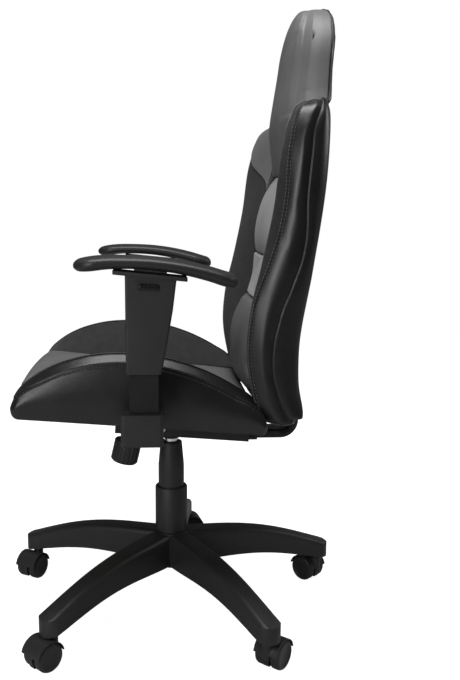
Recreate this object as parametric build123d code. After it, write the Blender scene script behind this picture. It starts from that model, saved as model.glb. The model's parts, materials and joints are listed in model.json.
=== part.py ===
from build123d import *
import math
import os

# A reclining gaming chair on a gas lift and a five-leg base with twin-wheel casters.
# Frame: origin on the column axis at floor level, +Z up, the sitter faces -Y,
# +X is the sitter's left. Millimetres.

# ---- Casters ----
WHEEL_DIAMETER = 55.0
WHEEL_WIDTH = 18.0
WHEEL_EDGE = 5.0
AXLE_RADIUS = 4.0
CASTER_TRAIL = 22.0
CASTER_WEB = 12.5
WHEEL_SIDE_GAP = 0.8
HOOD_GAP = 1.0
HOOD_WALL = 2.0
CASTER_STEM_RADIUS = 5.5
CASTER_STEM_TOP = 92.0
RUNNING_FIT = 0.05

# ---- Base and column ----
LEG_COUNT = 5
LEG_START_ANGLE = 29.7
STEM_CIRCLE_RADIUS = 336.0
LEG_TIP_RADIUS = 24.0
LEG_TIP_BOTTOM = 60.5
LEG_WALL = 4.5
HUB_RADIUS = 38.0
HUB_BOTTOM = 90.0
HUB_TOP = 158.0
TUBE_RADIUS = 25.0
TUBE_WALL = 2.0
TUBE_BOTTOM = 78.0
TUBE_TOP = 228.0
TUBE_FLOOR = 6.0
GUIDE_LENGTH = 60.0
CYLINDER_RADIUS = 14.0
CYLINDER_BOTTOM = 165.0
CYLINDER_TOP = 405.0
TAPER_START = 345.0
TAPER_DROP = 1.0
CYLINDER_WALL = 2.0
ROD_RADIUS = 5.0
PISTON_RADIUS = 11.5
PISTON_LEVEL = 250.0
LIFT_STROKE = 70.0
LOWER_COVER_RADIUS = 34.0
LOWER_COVER_TOP = 255.0
UPPER_COVER_RADIUS = 27.2
UPPER_COVER_BOTTOM = 235.0
UPPER_COVER_TOP = 352.0
UPPER_COVER_NECK = 22.7
COVER_WALL = 1.8

# ---- Tilt mechanism ----
TILT_AXIS_Y = -22.0
TILT_AXIS_Z = 400.0
TILT_PIN_RADIUS = 6.0
HOUSING_BOTTOM = 379.0
HOUSING_TOP = 412.0
HOUSING_HALF_WIDTH = 70.0
HOUSING_FRONT = -60.0
HOUSING_REAR = 68.0
TONGUE_FRONT = -112.0
TONGUE_BOTTOM = 386.0
SHEET = 3.0
FLANGE_GAP = 6.0
FLANGE_DEPTH = 62.0
PLATE_HALF_WIDTH = 95.0
PLATE_FRONT = -118.0
PLATE_REAR = 160.0
LEVER_AXIS_X = -45.0
LEVER_Z = 404.0
LEVER_RADIUS = 4.5
LEVER_REACH = 245.0
KNOB_RADIUS = 28.5
KNOB_HEIGHT = 47.0
KNOB_LEAN = 13.4
KNOB_FOOT_Y = -100.5
KNOB_FOOT_Z = 308.0
TENSION_BOLT_RADIUS = 5.0
SPRING_RADIUS = 15.0
SPRING_WIRE = 2.4

# ---- Seat ----
SEAT_SLOPE = 4.5
SEAT_HEIGHT = 444.0
SEAT_HALF_WIDTH = 262.0
SEAT_FRONT = -288.0
SEAT_REAR = 152.0
BOARD_THICKNESS = 12.0
BOARD_HALF_WIDTH = 235.0
BOARD_FRONT = -262.0
BOARD_REAR = 147.0
PANEL_HALF_WIDTH = 150.0
SEAT_PANEL_TOP = 50.0
SOFT_GAP = 0.5
SEAM_GAP = 2.0
SEAT_RIDGE_X = 238.0
BOLT_RADIUS = 4.0
BOLT_HEAD_RADIUS = 6.5
BOLT_HEAD_HEIGHT = 5.0
BOLT_BITE = 9.0
BOLT_GAP = 0.2

# ---- Back bracket and recline hinge ----
BRACKET_HALF_WIDTH = 45.0
BRACKET_THICKNESS = 6.0
BRACKET_BOTTOM = 368.0
BRACKET_FRONT = 105.0
BRACKET_REAR = 261.0
BRACKET_BEND = 37.0
BRACKET_TOP = 455.0
RECLINE_Y = 231.0
RECLINE_Z = 480.0
RECLINE_PIN_RADIUS = 5.0
EAR_INNER_X = 36.0
EAR_THICKNESS = 6.0
EAR_RADIUS = 12.0

# ---- Backrest ----
BACK_BOTTOM = 508.0
BACK_SHOULDER = 1012.0
BACK_TOP = 1220.0
BACK_BOARD_REAR = -10.0
BACK_BOARD_FRONT = -22.0
BACK_BOARD_TOP = 1170.0
HEADREST_HALF_WIDTH = 125.0
HEADREST_CORNER = 45.0
REAR_PANEL_INNER = 8.0
REAR_PANEL_OUTER = 18.0
LUMBAR_TOP = 651.0
BAND_TOP = 742.0
UPPER_PAD_TOP = 903.0

# ---- Armrests ----
POST_X = 306.0
POST_THICKNESS = 18.0
POST_FRONT = -77.0
POST_REAR = -28.0
POST_TOP = 655.0
ARM_STROKE = 55.0
STRAP_INNER_X = 112.0
STRAP_WIDTH = 50.0
STRAP_THICKNESS = 6.0
SOCKET_BOTTOM = 434.0
SOCKET_TOP = 490.0
SOCKET_WALL = 8.0
SLEEVE_BOTTOM = 560.0
SLEEVE_INNER_X = 301.0
SLEEVE_OUTER_X = 336.0
SLEEVE_FRONT = -82.0
SLIDE_GAP = 0.3
ARM_TOP_SLOPE = 0.1
ARM_TOP_AT_MID = 719.0
ARM_MID_Y = -40.0
PAD_PLATE_THICKNESS = 7.0
PAD_PLATE_FRONT = -102.0
PAD_PLATE_REAR = 20.0
PAD_PLATE_WIDTH = 56.0
PAD_WIDTH = 88.0
PAD_FRONT = -167.0
PAD_REAR = 105.0
PAD_X = 305.0
PAD_TOE = 3.2
BUTTON_TRAVEL = 2.5
BUTTON_FRONT = -60.0
BUTTON_REAR = -26.0
BUTTON_BOTTOM = 699.0
BUTTON_HEIGHT = 10.0

WHEEL_RADIUS = WHEEL_DIAMETER / 2
CASTER_SWIVEL_ANGLES = (140.0, -140.0, 100.0, -30.0, -45.0)


# ---- Helpers ----

def block(x, y, z):
    """Box between two limits on each axis."""
    size = (x[1] - x[0], y[1] - y[0], z[1] - z[0])
    return Pos((x[0] + x[1]) / 2, (y[0] + y[1]) / 2, (z[0] + z[1]) / 2) * Box(*size)


def side_shape(points, x):
    """Closed outline of (y, z) points, extruded between two x values."""
    face = make_face(Polyline(*[(0, y, z) for y, z in points], close=True))
    return Pos(x[0], 0, 0) * extrude(face, amount=x[1] - x[0], dir=(1, 0, 0))


def turned(points):
    """Closed outline of (radius, z) points, turned about the Z axis."""
    face = make_face(Polyline(*[(r, 0, z) for r, z in points], close=True))
    return revolve(face, axis=Axis.Z)


def cross_rod(radius, x, y, z):
    """Round bar along X between two x values."""
    middle = Pos((x[0] + x[1]) / 2, y, z)
    return middle * Rot(0, 90, 0) * Cylinder(radius, x[1] - x[0])


def polygon_at(plane, points):
    """Face with the given corners on a plane."""
    return plane * make_face(Polyline(*[(u, v) for u, v in points], close=True))


def between(stations, value, column):
    """Straight-line value of a column between two stations that bracket the value."""
    for low, high in zip(stations, stations[1:]):
        if low[0] <= value <= high[0]:
            share = (value - low[0]) / (high[0] - low[0])
            return low[column] + share * (high[column] - low[column])
    raise ValueError(value)


def mirrored(shape):
    """The same piece on the chair's right side."""
    return mirror(shape, about=Plane.YZ)


def seat_place(shape):
    """Moves a piece from the level seat frame to its sloping place."""
    return Pos(0, 0, SEAT_HEIGHT) * Rot(-SEAT_SLOPE, 0, 0) * shape


# ---- Base ----

# radius from the column, half width, underside and top of a leg
LEG_STATIONS = (
    (20.0, 25.0, 90.0, 158.0),
    (110.0, 24.0, 91.0, 153.0),
    (210.0, 22.0, 88.0, 140.5),
    (290.0, 22.0, 74.0, 118.0),
    (362.0, LEG_TIP_RADIUS, LEG_TIP_BOTTOM, 92.0),
)


def leg_loft(side_inset, top_inset, bottom_drop, corner):
    sections = []
    for radius, half_width, bottom, top in LEG_STATIONS:
        low, high = bottom - bottom_drop, top - top_inset
        width = 2 * (half_width - side_inset)
        plane = Plane(origin=(radius, 0, (low + high) / 2), x_dir=(0, 1, 0), z_dir=(1, 0, 0))
        section = Rectangle(width, high - low)
        section = fillet(section.vertices().group_by(Axis.Y)[-1], corner)
        sections.append(plane * section)
    return loft(sections)


def leg():
    outside = leg_loft(0, 0, 0, 11.0)
    plan = block((0, STEM_CIRCLE_RADIUS), (-40, 40), (0, 200))
    plan += Pos(STEM_CIRCLE_RADIUS, 0, 100) * Cylinder(LEG_TIP_RADIUS, 200)
    outside &= plan
    hollow = leg_loft(LEG_WALL, LEG_WALL, 40.0, 8.0)
    hollow &= block((HUB_RADIUS + 10, STEM_CIRCLE_RADIUS - 32), (-40, 40), (0, 200))
    shell = outside - hollow
    for radius in (95, 145, 195, 245):
        shell += outside & block((radius - 1.5, radius + 1.5), (-40, 40), (0, 200))
    return shell


def base_star():
    star = Pos(0, 0, (HUB_BOTTOM + HUB_TOP) / 2) * Cylinder(HUB_RADIUS, HUB_TOP - HUB_BOTTOM)
    one_leg = leg()
    bore = Pos(STEM_CIRCLE_RADIUS, 0, (LEG_TIP_BOTTOM + CASTER_STEM_TOP) / 2) * Cylinder(
        CASTER_STEM_RADIUS + RUNNING_FIT, CASTER_STEM_TOP - LEG_TIP_BOTTOM + 2
    )
    one_leg -= bore
    for number in range(LEG_COUNT):
        star += Rot(0, 0, LEG_START_ANGLE + 360 / LEG_COUNT * number) * one_leg
    column_hole = Pos(0, 0, 120) * Cylinder(TUBE_RADIUS + RUNNING_FIT, 120)
    return star - column_hole


# ---- Casters ----

def caster_place(number, shape):
    """Moves a piece from the caster's own frame, stem on the Z axis, to its leg."""
    leg_angle = math.radians(LEG_START_ANGLE + 360 / LEG_COUNT * number)
    x = STEM_CIRCLE_RADIUS * math.cos(leg_angle)
    y = STEM_CIRCLE_RADIUS * math.sin(leg_angle)
    return Pos(x, y, 0) * Rot(0, 0, CASTER_SWIVEL_ANGLES[number]) * shape


def lying(radius, y):
    """Round bar along Y on the wheel axis."""
    middle = Pos(CASTER_TRAIL, (y[0] + y[1]) / 2, WHEEL_RADIUS)
    return middle * Rot(90, 0, 0) * Cylinder(radius, y[1] - y[0])


def caster_half_width():
    return CASTER_WEB / 2 + WHEEL_SIDE_GAP + WHEEL_WIDTH


def caster_hood():
    reach = WHEEL_RADIUS + HOOD_GAP + HOOD_WALL
    half = caster_half_width()
    fender = lying(reach, (-half, half)) - lying(reach - HOOD_WALL, (-half - 1, half + 1))
    fender &= block((-60, 60), (-60, 60), (WHEEL_RADIUS + 6, 100))
    web = lying(reach - 1, (-CASTER_WEB / 2, CASTER_WEB / 2))
    web &= block((-60, 60), (-60, 60), (10, 100))
    socket = Pos(0, 0, 42) * Cylinder(10.5, 34)
    socket &= block((-60, 60), (-60, 60), (0, 57.5))
    socket -= lying(WHEEL_RADIUS + HOOD_GAP, (CASTER_WEB / 2, half + 1))
    socket -= lying(WHEEL_RADIUS + HOOD_GAP, (-half - 1, -CASTER_WEB / 2))
    hood = web + fender + socket
    hood -= lying(AXLE_RADIUS, (-half, half))
    return hood - Pos(0, 0, 65) * Cylinder(CASTER_STEM_RADIUS, 60)


def caster_pins():
    stem = Pos(0, 0, (35 + CASTER_STEM_TOP) / 2) * Cylinder(CASTER_STEM_RADIUS, CASTER_STEM_TOP - 35)
    reach = caster_half_width() - 4
    return Compound([stem, lying(AXLE_RADIUS, (-reach, reach))])


def wheel_profile():
    """Half section of a wheel: bore closed on the outer side, rounded tread, dished face."""
    bore, rim, width = AXLE_RADIUS + RUNNING_FIT, WHEEL_RADIUS, WHEEL_WIDTH
    return [
        (bore, 0), (rim - WHEEL_EDGE / 2, 0), (rim, WHEEL_EDGE / 2),
        (rim, width - WHEEL_EDGE), (rim - WHEEL_EDGE * 0.3, width - WHEEL_EDGE * 0.3),
        (rim - WHEEL_EDGE, width), (rim - WHEEL_EDGE - 2, width),
        (rim - WHEEL_EDGE - 4, width - 1.5), (0, width - 1.5),
        (0, width - 3.5), (bore, width - 3.5),
    ]


def caster_wheel(side):
    wheel = turned(wheel_profile())
    offset = CASTER_WEB / 2 + WHEEL_SIDE_GAP
    return Pos(CASTER_TRAIL, side * offset, WHEEL_RADIUS) * Rot(-90 * side, 0, 0) * wheel


# ---- Gas lift ----

def column_tube():
    guide_bottom = TUBE_TOP - GUIDE_LENGTH
    inner = TUBE_RADIUS - TUBE_WALL
    guide = CYLINDER_RADIUS + RUNNING_FIT
    hole = ROD_RADIUS + RUNNING_FIT
    return turned([
        (hole, TUBE_BOTTOM), (TUBE_RADIUS, TUBE_BOTTOM), (TUBE_RADIUS, TUBE_TOP),
        (guide, TUBE_TOP), (guide, guide_bottom), (inner, guide_bottom),
        (inner, TUBE_BOTTOM + TUBE_FLOOR), (hole, TUBE_BOTTOM + TUBE_FLOOR),
    ])


def piston_rod():
    seat = TUBE_BOTTOM + TUBE_FLOOR + 0.2
    return turned([
        (0, TUBE_BOTTOM - 4), (ROD_RADIUS, TUBE_BOTTOM - 4), (ROD_RADIUS, seat),
        (ROD_RADIUS + 3, seat), (ROD_RADIUS + 3, seat + 4), (ROD_RADIUS, seat + 4),
        (ROD_RADIUS, PISTON_LEVEL), (PISTON_RADIUS, PISTON_LEVEL),
        (PISTON_RADIUS, PISTON_LEVEL + 8), (0, PISTON_LEVEL + 8),
    ])


def gas_cylinder():
    hole = ROD_RADIUS + RUNNING_FIT
    chamber = CYLINDER_RADIUS - CYLINDER_WALL
    cap = CYLINDER_BOTTOM + 13
    return turned([
        (hole, CYLINDER_BOTTOM), (CYLINDER_RADIUS, CYLINDER_BOTTOM),
        (CYLINDER_RADIUS, TAPER_START), (CYLINDER_RADIUS - TAPER_DROP, CYLINDER_TOP),
        (3.5, CYLINDER_TOP), (3.5, CYLINDER_TOP + 3), (0, CYLINDER_TOP + 3),
        (0, TAPER_START), (chamber, TAPER_START), (chamber, cap), (hole, cap),
    ])


def taper_radius(z):
    """Radius of the gas cylinder's tapered top."""
    return CYLINDER_RADIUS - TAPER_DROP * (z - TAPER_START) / (CYLINDER_TOP - TAPER_START)


def column_lower_cover():
    outer, inner = LOWER_COVER_RADIUS, LOWER_COVER_RADIUS - COVER_WALL
    lip = UPPER_COVER_RADIUS + 1.0
    return turned([
        (inner, HUB_TOP), (outer, HUB_TOP), (outer, LOWER_COVER_TOP - 3),
        (outer - 1.5, LOWER_COVER_TOP), (lip, LOWER_COVER_TOP),
        (lip, LOWER_COVER_TOP - 2.5), (inner, LOWER_COVER_TOP - 2.5),
    ])


def column_upper_cover():
    outer, inner = UPPER_COVER_RADIUS, UPPER_COVER_RADIUS - COVER_WALL
    straight_top = TUBE_TOP + LIFT_STROKE + 3
    collar = CYLINDER_RADIUS + 0.3
    return turned([
        (inner, UPPER_COVER_BOTTOM), (outer, UPPER_COVER_BOTTOM), (outer, straight_top),
        (UPPER_COVER_NECK, UPPER_COVER_TOP - 2), (UPPER_COVER_NECK - 1.5, UPPER_COVER_TOP),
        (collar, UPPER_COVER_TOP), (collar, UPPER_COVER_TOP - 3),
        (UPPER_COVER_NECK - COVER_WALL - 1, UPPER_COVER_TOP - 3), (inner, straight_top),
    ])


# ---- Tilt mechanism ----

def mechanism_housing():
    half, top = HOUSING_HALF_WIDTH, HOUSING_TOP
    floor_top = HOUSING_BOTTOM + SHEET
    housing = block((-half, half), (HOUSING_FRONT, HOUSING_REAR), (HOUSING_BOTTOM, top))
    housing -= block((SHEET - half, half - SHEET), (HOUSING_FRONT - 1, HOUSING_REAR - SHEET), (floor_top, top + 1))
    housing += block((-half / 2, half / 2), (TONGUE_FRONT, HOUSING_FRONT), (TONGUE_BOTTOM, TONGUE_BOTTOM + SHEET))
    housing += block((-half, half), (HOUSING_FRONT - SHEET, HOUSING_FRONT), (HOUSING_BOTTOM, TONGUE_BOTTOM + SHEET))
    housing += turned([
        (0, 360), (17.5, 360), (26, HOUSING_BOTTOM), (26, floor_top), (20, floor_top + 6), (0, floor_top + 6),
    ])
    for ear_y in (-11.0, 8.0):
        housing += block((LEVER_AXIS_X - 7, LEVER_AXIS_X + 7), (ear_y, ear_y + SHEET), (floor_top - 1, LEVER_Z + 6))
    housing -= turned([
        (0, 350), (taper_radius(350) + RUNNING_FIT, 350), (taper_radius(395) + RUNNING_FIT, 395), (0, 395),
    ])
    housing -= cross_rod(TILT_PIN_RADIUS + RUNNING_FIT, (-100, 100), TILT_AXIS_Y, TILT_AXIS_Z)
    housing -= Pos(LEVER_AXIS_X, 0, LEVER_Z) * Rot(90, 0, 0) * Cylinder(2.5 + RUNNING_FIT, 40)
    housing -= cross_rod(LEVER_RADIUS + 4, (-half - 1, SHEET - half + 1), 0, LEVER_Z)
    return housing - tension_slot()


def tension_slot():
    """Slot that lets the tension bolt swing as the seat tilts."""
    return block((-8, 8), (-99, -66), (TONGUE_BOTTOM - 1, TONGUE_BOTTOM + SHEET + 1))


def tilt_pivot_pin():
    flange_face = HOUSING_HALF_WIDTH + FLANGE_GAP + SHEET
    pin = cross_rod(TILT_PIN_RADIUS, (-flange_face - 1, flange_face + 1), TILT_AXIS_Y, TILT_AXIS_Z)
    for side in (-1, 1):
        inner, outer = side * (flange_face + 0.4), side * (flange_face + 4.4)
        pin += cross_rod(TILT_PIN_RADIUS + 3, sorted((inner, outer)), TILT_AXIS_Y, TILT_AXIS_Z)
    return pin


def lift_lever():
    lever = cross_rod(LEVER_RADIUS, (-LEVER_REACH + 60, LEVER_AXIS_X), 0, LEVER_Z)
    lever += block((LEVER_AXIS_X - 5, LEVER_AXIS_X + 5), (-5, 5), (LEVER_Z - LEVER_RADIUS, 417))
    lever += block((LEVER_AXIS_X - 5, 4), (-5, 5), (412.6, 417))
    lever += Pos(LEVER_AXIS_X, 0, LEVER_Z) * Rot(90, 0, 0) * Cylinder(2.5, 22)
    paddle = block((-LEVER_REACH, -LEVER_REACH + 75), (-15, 15), (LEVER_Z - 5, LEVER_Z + 5))
    paddle = fillet(paddle.edges().filter_by(Axis.Z), 10)
    return lever + fillet(paddle.edges().group_by(Axis.Z)[-1] + paddle.edges().group_by(Axis.Z)[0], 3)


def knob_place(shape):
    """Moves a piece from the knob's upright frame to its leaning place."""
    return Pos(0, KNOB_FOOT_Y, KNOB_FOOT_Z) * Rot(-KNOB_LEAN, 0, 0) * shape


def tension_knob():
    cup_floor, cup_radius = 16.0, SPRING_RADIUS + SPRING_WIRE + 2
    bore = TENSION_BOLT_RADIUS + RUNNING_FIT
    knob = turned([
        (bore, 0), (KNOB_RADIUS - 4, 0), (KNOB_RADIUS, 4), (KNOB_RADIUS, KNOB_HEIGHT - 2),
        (KNOB_RADIUS - 2, KNOB_HEIGHT), (cup_radius, KNOB_HEIGHT), (cup_radius, cup_floor),
        (bore, cup_floor),
    ])
    for number in range(18):
        groove = Pos(KNOB_RADIUS + 1.2, 0, 20) * Cylinder(2.4, 60)
        knob -= Rot(0, 0, 20 * number) * groove
    return knob_place(knob)


def tension_bolt():
    bolt = Pos(0, 0, 74) * Cylinder(TENSION_BOLT_RADIUS, 140)
    bolt = knob_place(bolt)
    return bolt - seat_place(block((-50, 50), (-200, 50), (-SHEET - 0.05, 60)))


def tension_spring():
    free_length = 58.0
    coil = Helix(pitch=free_length / 5.5, height=free_length, radius=SPRING_RADIUS)
    section = Plane(origin=coil @ 0, z_dir=coil % 0) * Circle(SPRING_WIRE)
    wire = sweep(section, path=coil, is_frenet=True)
    return knob_place(Pos(0, 0, 18.6) * wire)


# ---- Seat frame ----

def bolt_points():
    """Places of the bolt shanks in the seat frame, on the seat board's underside."""
    plate = [(x, s) for x in (-86, 86) for s in (-95, 125)]
    straps = [(side * x, s) for side in (-1, 1) for x, s in ((130, -72), (130, -48), (190, -60))]
    return plate, straps


def seat_bolt(x, s, under):
    shank = Pos(x, s, (BOLT_BITE - under) / 2) * Cylinder(BOLT_RADIUS, BOLT_BITE + under)
    head = Pos(x, s, -under - BOLT_HEAD_HEIGHT / 2) * Cylinder(BOLT_HEAD_RADIUS, BOLT_HEAD_HEIGHT)
    return shank + head


def seat_bolt_holes():
    plate, straps = bolt_points()
    hole = Cylinder(BOLT_RADIUS + BOLT_GAP, 2 * BOLT_BITE + 12)
    return seat_place(Compound([Pos(x, s, 0) * hole for x, s in plate + straps]))


BRACKET_BOLTS = ((-25.0, 122.0), (25.0, 122.0), (0.0, 160.0))


def frame_bolts():
    plate, straps = bolt_points()
    bolts = [seat_place(seat_bolt(x, s, SHEET)) for x, s in plate]
    bolts += [seat_place(seat_bolt(x, s, STRAP_THICKNESS)) for x, s in straps]
    for x, y in BRACKET_BOLTS:
        shank = Pos(x, y, BRACKET_BOTTOM + 9) * Cylinder(BOLT_RADIUS, 18)
        head = Pos(x, y, BRACKET_BOTTOM - BOLT_HEAD_HEIGHT / 2) * Cylinder(BOLT_HEAD_RADIUS, BOLT_HEAD_HEIGHT)
        bolts.append(shank + head)
    return Compound(bolts)


def bracket_bolt_holes():
    hole = Cylinder(BOLT_RADIUS + BOLT_GAP, 40)
    return Compound([Pos(x, y, BRACKET_BOTTOM) * hole for x, y in BRACKET_BOLTS])


def seat_plate():
    flange_inner = HOUSING_HALF_WIDTH + FLANGE_GAP
    flange_outer = flange_inner + SHEET
    plate = block((-PLATE_HALF_WIDTH, PLATE_HALF_WIDTH), (PLATE_FRONT, PLATE_REAR), (-SHEET, 0))
    for x in ((-flange_outer, -flange_inner), (flange_inner, flange_outer)):
        plate += block(x, (PLATE_FRONT + 8, PLATE_REAR), (-FLANGE_DEPTH, -SHEET))
    plate = seat_place(plate)
    bracket_top = BRACKET_BOTTOM + BRACKET_THICKNESS
    plate += block((-flange_outer, flange_outer), (BRACKET_FRONT - 8, 172), (bracket_top, bracket_top + 4))
    plate -= cross_rod(TILT_PIN_RADIUS + RUNNING_FIT, (-100, 100), TILT_AXIS_Y, TILT_AXIS_Z)
    plate -= block((-flange_outer - 1, -flange_inner + 1), (-11, 14), (360, 421))
    return plate - seat_bolt_holes() - bracket_bolt_holes()


def seat_board():
    board = block((-BOARD_HALF_WIDTH, BOARD_HALF_WIDTH), (BOARD_FRONT, BOARD_REAR), (0, BOARD_THICKNESS))
    board = fillet(board.edges().filter_by(Axis.Z), 40)
    return seat_place(board) - seat_bolt_holes()


def seat_center_pad():
    under = BOARD_THICKNESS + SOFT_GAP
    nose = BOARD_FRONT - SOFT_GAP
    outline = [
        (nose, under), (nose, 2), (SEAT_FRONT + 6, 3), (SEAT_FRONT, 18), (SEAT_FRONT + 2, 34),
        (SEAT_FRONT + 16, SEAT_PANEL_TOP - 3), (SEAT_FRONT + 60, SEAT_PANEL_TOP),
        (SEAT_REAR - 30, SEAT_PANEL_TOP), (SEAT_REAR - 10, SEAT_PANEL_TOP - 8),
        (SEAT_REAR, 26), (SEAT_REAR, under),
    ]
    return seat_place(side_shape(outline, (-PANEL_HALF_WIDTH, PANEL_HALF_WIDTH)))


# distance along the seat, height of the bolster's ridge
SEAT_RIDGE = ((SEAT_FRONT, 40.0), (-250.0, 89.0), (-184.0, 117.0), (-88.0, 129.0),
              (10.0, 118.0), (102.0, 79.0), (SEAT_REAR, 38.0))


def seat_bolster():
    inner = PANEL_HALF_WIDTH + SEAM_GAP
    edge = BOARD_HALF_WIDTH + SOFT_GAP
    under = BOARD_THICKNESS + SOFT_GAP
    sections = []
    for along, ridge in SEAT_RIDGE:
        plane = Plane(origin=(0, along, 0), x_dir=(1, 0, 0), z_dir=(0, -1, 0))
        sections.append(polygon_at(plane, [
            (inner, under), (edge, under), (edge, SOFT_GAP), (SEAT_HALF_WIDTH - 8, SOFT_GAP),
            (SEAT_HALF_WIDTH, 18), (SEAT_HALF_WIDTH - 3, ridge - 18), (SEAT_RIDGE_X, ridge),
            (SEAT_RIDGE_X - 18, ridge - 8), (inner, min(ridge - 10, SEAT_PANEL_TOP - 3)),
        ]))
    return seat_place(loft(sections, ruled=True))


# ---- Back bracket ----

def bracket_strap(half_width, inset, thickness):
    """L-shaped strap with a round bend, its outer face set in from the bracket's own."""
    bottom, rear = BRACKET_BOTTOM + inset, BRACKET_REAR - inset
    bend_y, bend_z = BRACKET_REAR - BRACKET_BEND, BRACKET_BOTTOM + BRACKET_BEND
    outer = BRACKET_BEND - inset
    x = (-half_width, half_width)
    strap = block(x, (BRACKET_FRONT, bend_y), (bottom, bottom + thickness))
    strap += block(x, (rear - thickness, rear), (bend_z, BRACKET_TOP))
    bend = cross_rod(outer, x, bend_y, bend_z) - cross_rod(outer - thickness, x, bend_y, bend_z)
    return strap + (bend & block(x, (bend_y, BRACKET_REAR), (BRACKET_BOTTOM, bend_z)))


def back_bracket():
    groove = 2.0
    bracket = bracket_strap(BRACKET_HALF_WIDTH, 0, BRACKET_THICKNESS)
    rib = bracket_strap(9.0, groove, BRACKET_THICKNESS)
    rib &= block((-9, 9), (185, 300), (300, BRACKET_TOP))
    relief = bracket_strap(7.0, -1.0, groove + 1.0)
    relief &= block((-7, 7), (188, 300), (300, BRACKET_TOP - 6))
    bracket = bracket + rib - relief
    for side in (-1, 1):
        x = sorted((side * EAR_INNER_X, side * (EAR_INNER_X + EAR_THICKNESS)))
        ear = side_shape([
            (BRACKET_REAR - BRACKET_THICKNESS, 430), (BRACKET_REAR, 430), (BRACKET_REAR, 458),
            (RECLINE_Y + 8, RECLINE_Z + 8), (RECLINE_Y - 10, RECLINE_Z - 6), (RECLINE_Y + 8, 452),
        ], x)
        bracket += ear + cross_rod(EAR_RADIUS, x, RECLINE_Y, RECLINE_Z)
    bracket -= cross_rod(RECLINE_PIN_RADIUS + RUNNING_FIT, (-60, 60), RECLINE_Y, RECLINE_Z)
    return bracket - bracket_bolt_holes()


def recline_pin():
    ear_face = EAR_INNER_X + EAR_THICKNESS
    pin = cross_rod(RECLINE_PIN_RADIUS, (-ear_face - 1, ear_face + 1), RECLINE_Y, RECLINE_Z)
    for side in (-1, 1):
        ends = sorted((side * (ear_face + 0.2), side * (ear_face + 3.4)))
        pin += cross_rod(RECLINE_PIN_RADIUS + 2.5, ends, RECLINE_Y, RECLINE_Z)
    return pin


# ---- Backrest ----

# height, rearward position of the backrest's rear edge
BACK_LINE = ((440.0, 236.0), (500.0, 225.0), (580.0, 222.0), (725.0, 244.0), (850.0, 261.0),
             (1016.0, 273.0), (1240.0, 292.0))


def behind(offset):
    """Everything to the rear of the backrest's curved line, moved forward or back."""
    curve = Spline(*[(0, y + offset, z) for z, y in BACK_LINE])
    top, bottom = curve @ 1, curve @ 0
    sides = Polyline(top, (0, 400, top.Z), (0, 400, bottom.Z), bottom)
    return Pos(-300, 0, 0) * extrude(make_face(curve + sides), amount=600, dir=(1, 0, 0))


def front_shape(curve_points, half_width):
    """Pad whose front follows a curve of (y, z) points, as deep as the back board's face."""
    curve = Spline(*[(0, y, z) for y, z in curve_points])
    low, high = curve @ 0, curve @ 1
    sides = Polyline(high, (0, 300, high.Z), (0, 300, low.Z), low)
    pad = extrude(make_face(curve + sides), amount=2 * half_width, dir=(1, 0, 0))
    return Pos(-half_width, 0, 0) * pad - behind(BACK_BOARD_FRONT - SOFT_GAP)


def back_outline(top, inset):
    """Front view of the centre of the back: wide below the shoulders, narrow at the head."""
    wide = block((-PANEL_HALF_WIDTH + inset, PANEL_HALF_WIDTH - inset), (100, 400), (400, BACK_SHOULDER - inset))
    half = HEADREST_HALF_WIDTH - inset
    head = block((-half, half), (100, 400), (900, top))
    head = fillet(head.edges().filter_by(Axis.Y).group_by(Axis.Z)[-1], HEADREST_CORNER - inset)
    return wide + head


def back_board():
    return (behind(BACK_BOARD_FRONT) - behind(BACK_BOARD_REAR)) & back_outline(BACK_BOARD_TOP, 12)


def back_frame():
    board = back_board() - block((-300, 300), (0, 400), (400, BACK_BOTTOM))
    rear = 213.0
    frame = board + block((-30, 30), (rear - 5, rear + 6), (RECLINE_Z - 4, 575))
    frame += block((-30, 30), (rear - 5, RECLINE_Y), (RECLINE_Z - 4, RECLINE_Z + 14))
    reach = EAR_INNER_X - 1
    frame += cross_rod(EAR_RADIUS - 2, (-reach, reach), RECLINE_Y, RECLINE_Z)
    return frame - cross_rod(RECLINE_PIN_RADIUS + RUNNING_FIT, (-60, 60), RECLINE_Y, RECLINE_Z)


def lumbar_pad():
    front = [(140, BACK_BOTTOM + SEAM_GAP), (129, 540), (136, 612), (156, LUMBAR_TOP)]
    return front_shape(front, PANEL_HALF_WIDTH)


def lumbar_band():
    front = [(168, LUMBAR_TOP + SEAM_GAP), (180, 695), (184, BAND_TOP)]
    return front_shape(front, PANEL_HALF_WIDTH)


def upper_back_pad():
    front = [(184, BAND_TOP + SEAM_GAP), (180, 768), (186, 824), (203, 872), (226, UPPER_PAD_TOP)]
    return front_shape(front, PANEL_HALF_WIDTH)


def headrest_pad():
    curve = Spline((0, 228, UPPER_PAD_TOP + SEAM_GAP), (0, 226, 1000), (0, 230, 1100), (0, 241, 1191),
                   (0, 262, 1217), (0, 285, BACK_TOP))
    crown = Polyline(curve @ 1, (0, 296, 1210), (0, 297, 1040), (0, 297, UPPER_PAD_TOP + SEAM_GAP), curve @ 0)
    pad = Pos(-160, 0, 0) * extrude(make_face(curve + crown), amount=320, dir=(1, 0, 0))
    pad &= back_outline(BACK_TOP + 5, 0)
    pad -= behind(BACK_BOARD_FRONT - SOFT_GAP) & block((-300, 300), (0, 400), (400, BACK_SHOULDER + 8))
    slot = behind(BACK_BOARD_FRONT - SOFT_GAP) - behind(BACK_BOARD_REAR + SOFT_GAP)
    return pad - (slot & block((-114, 114), (0, 400), (1000, BACK_BOARD_TOP + SOFT_GAP)))


def back_rear_panel():
    panel = behind(REAR_PANEL_INNER) - behind(REAR_PANEL_OUTER)
    return panel & block((-PANEL_HALF_WIDTH, PANEL_HALF_WIDTH), (100, 400), (BACK_BOTTOM, BACK_SHOULDER))


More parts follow.
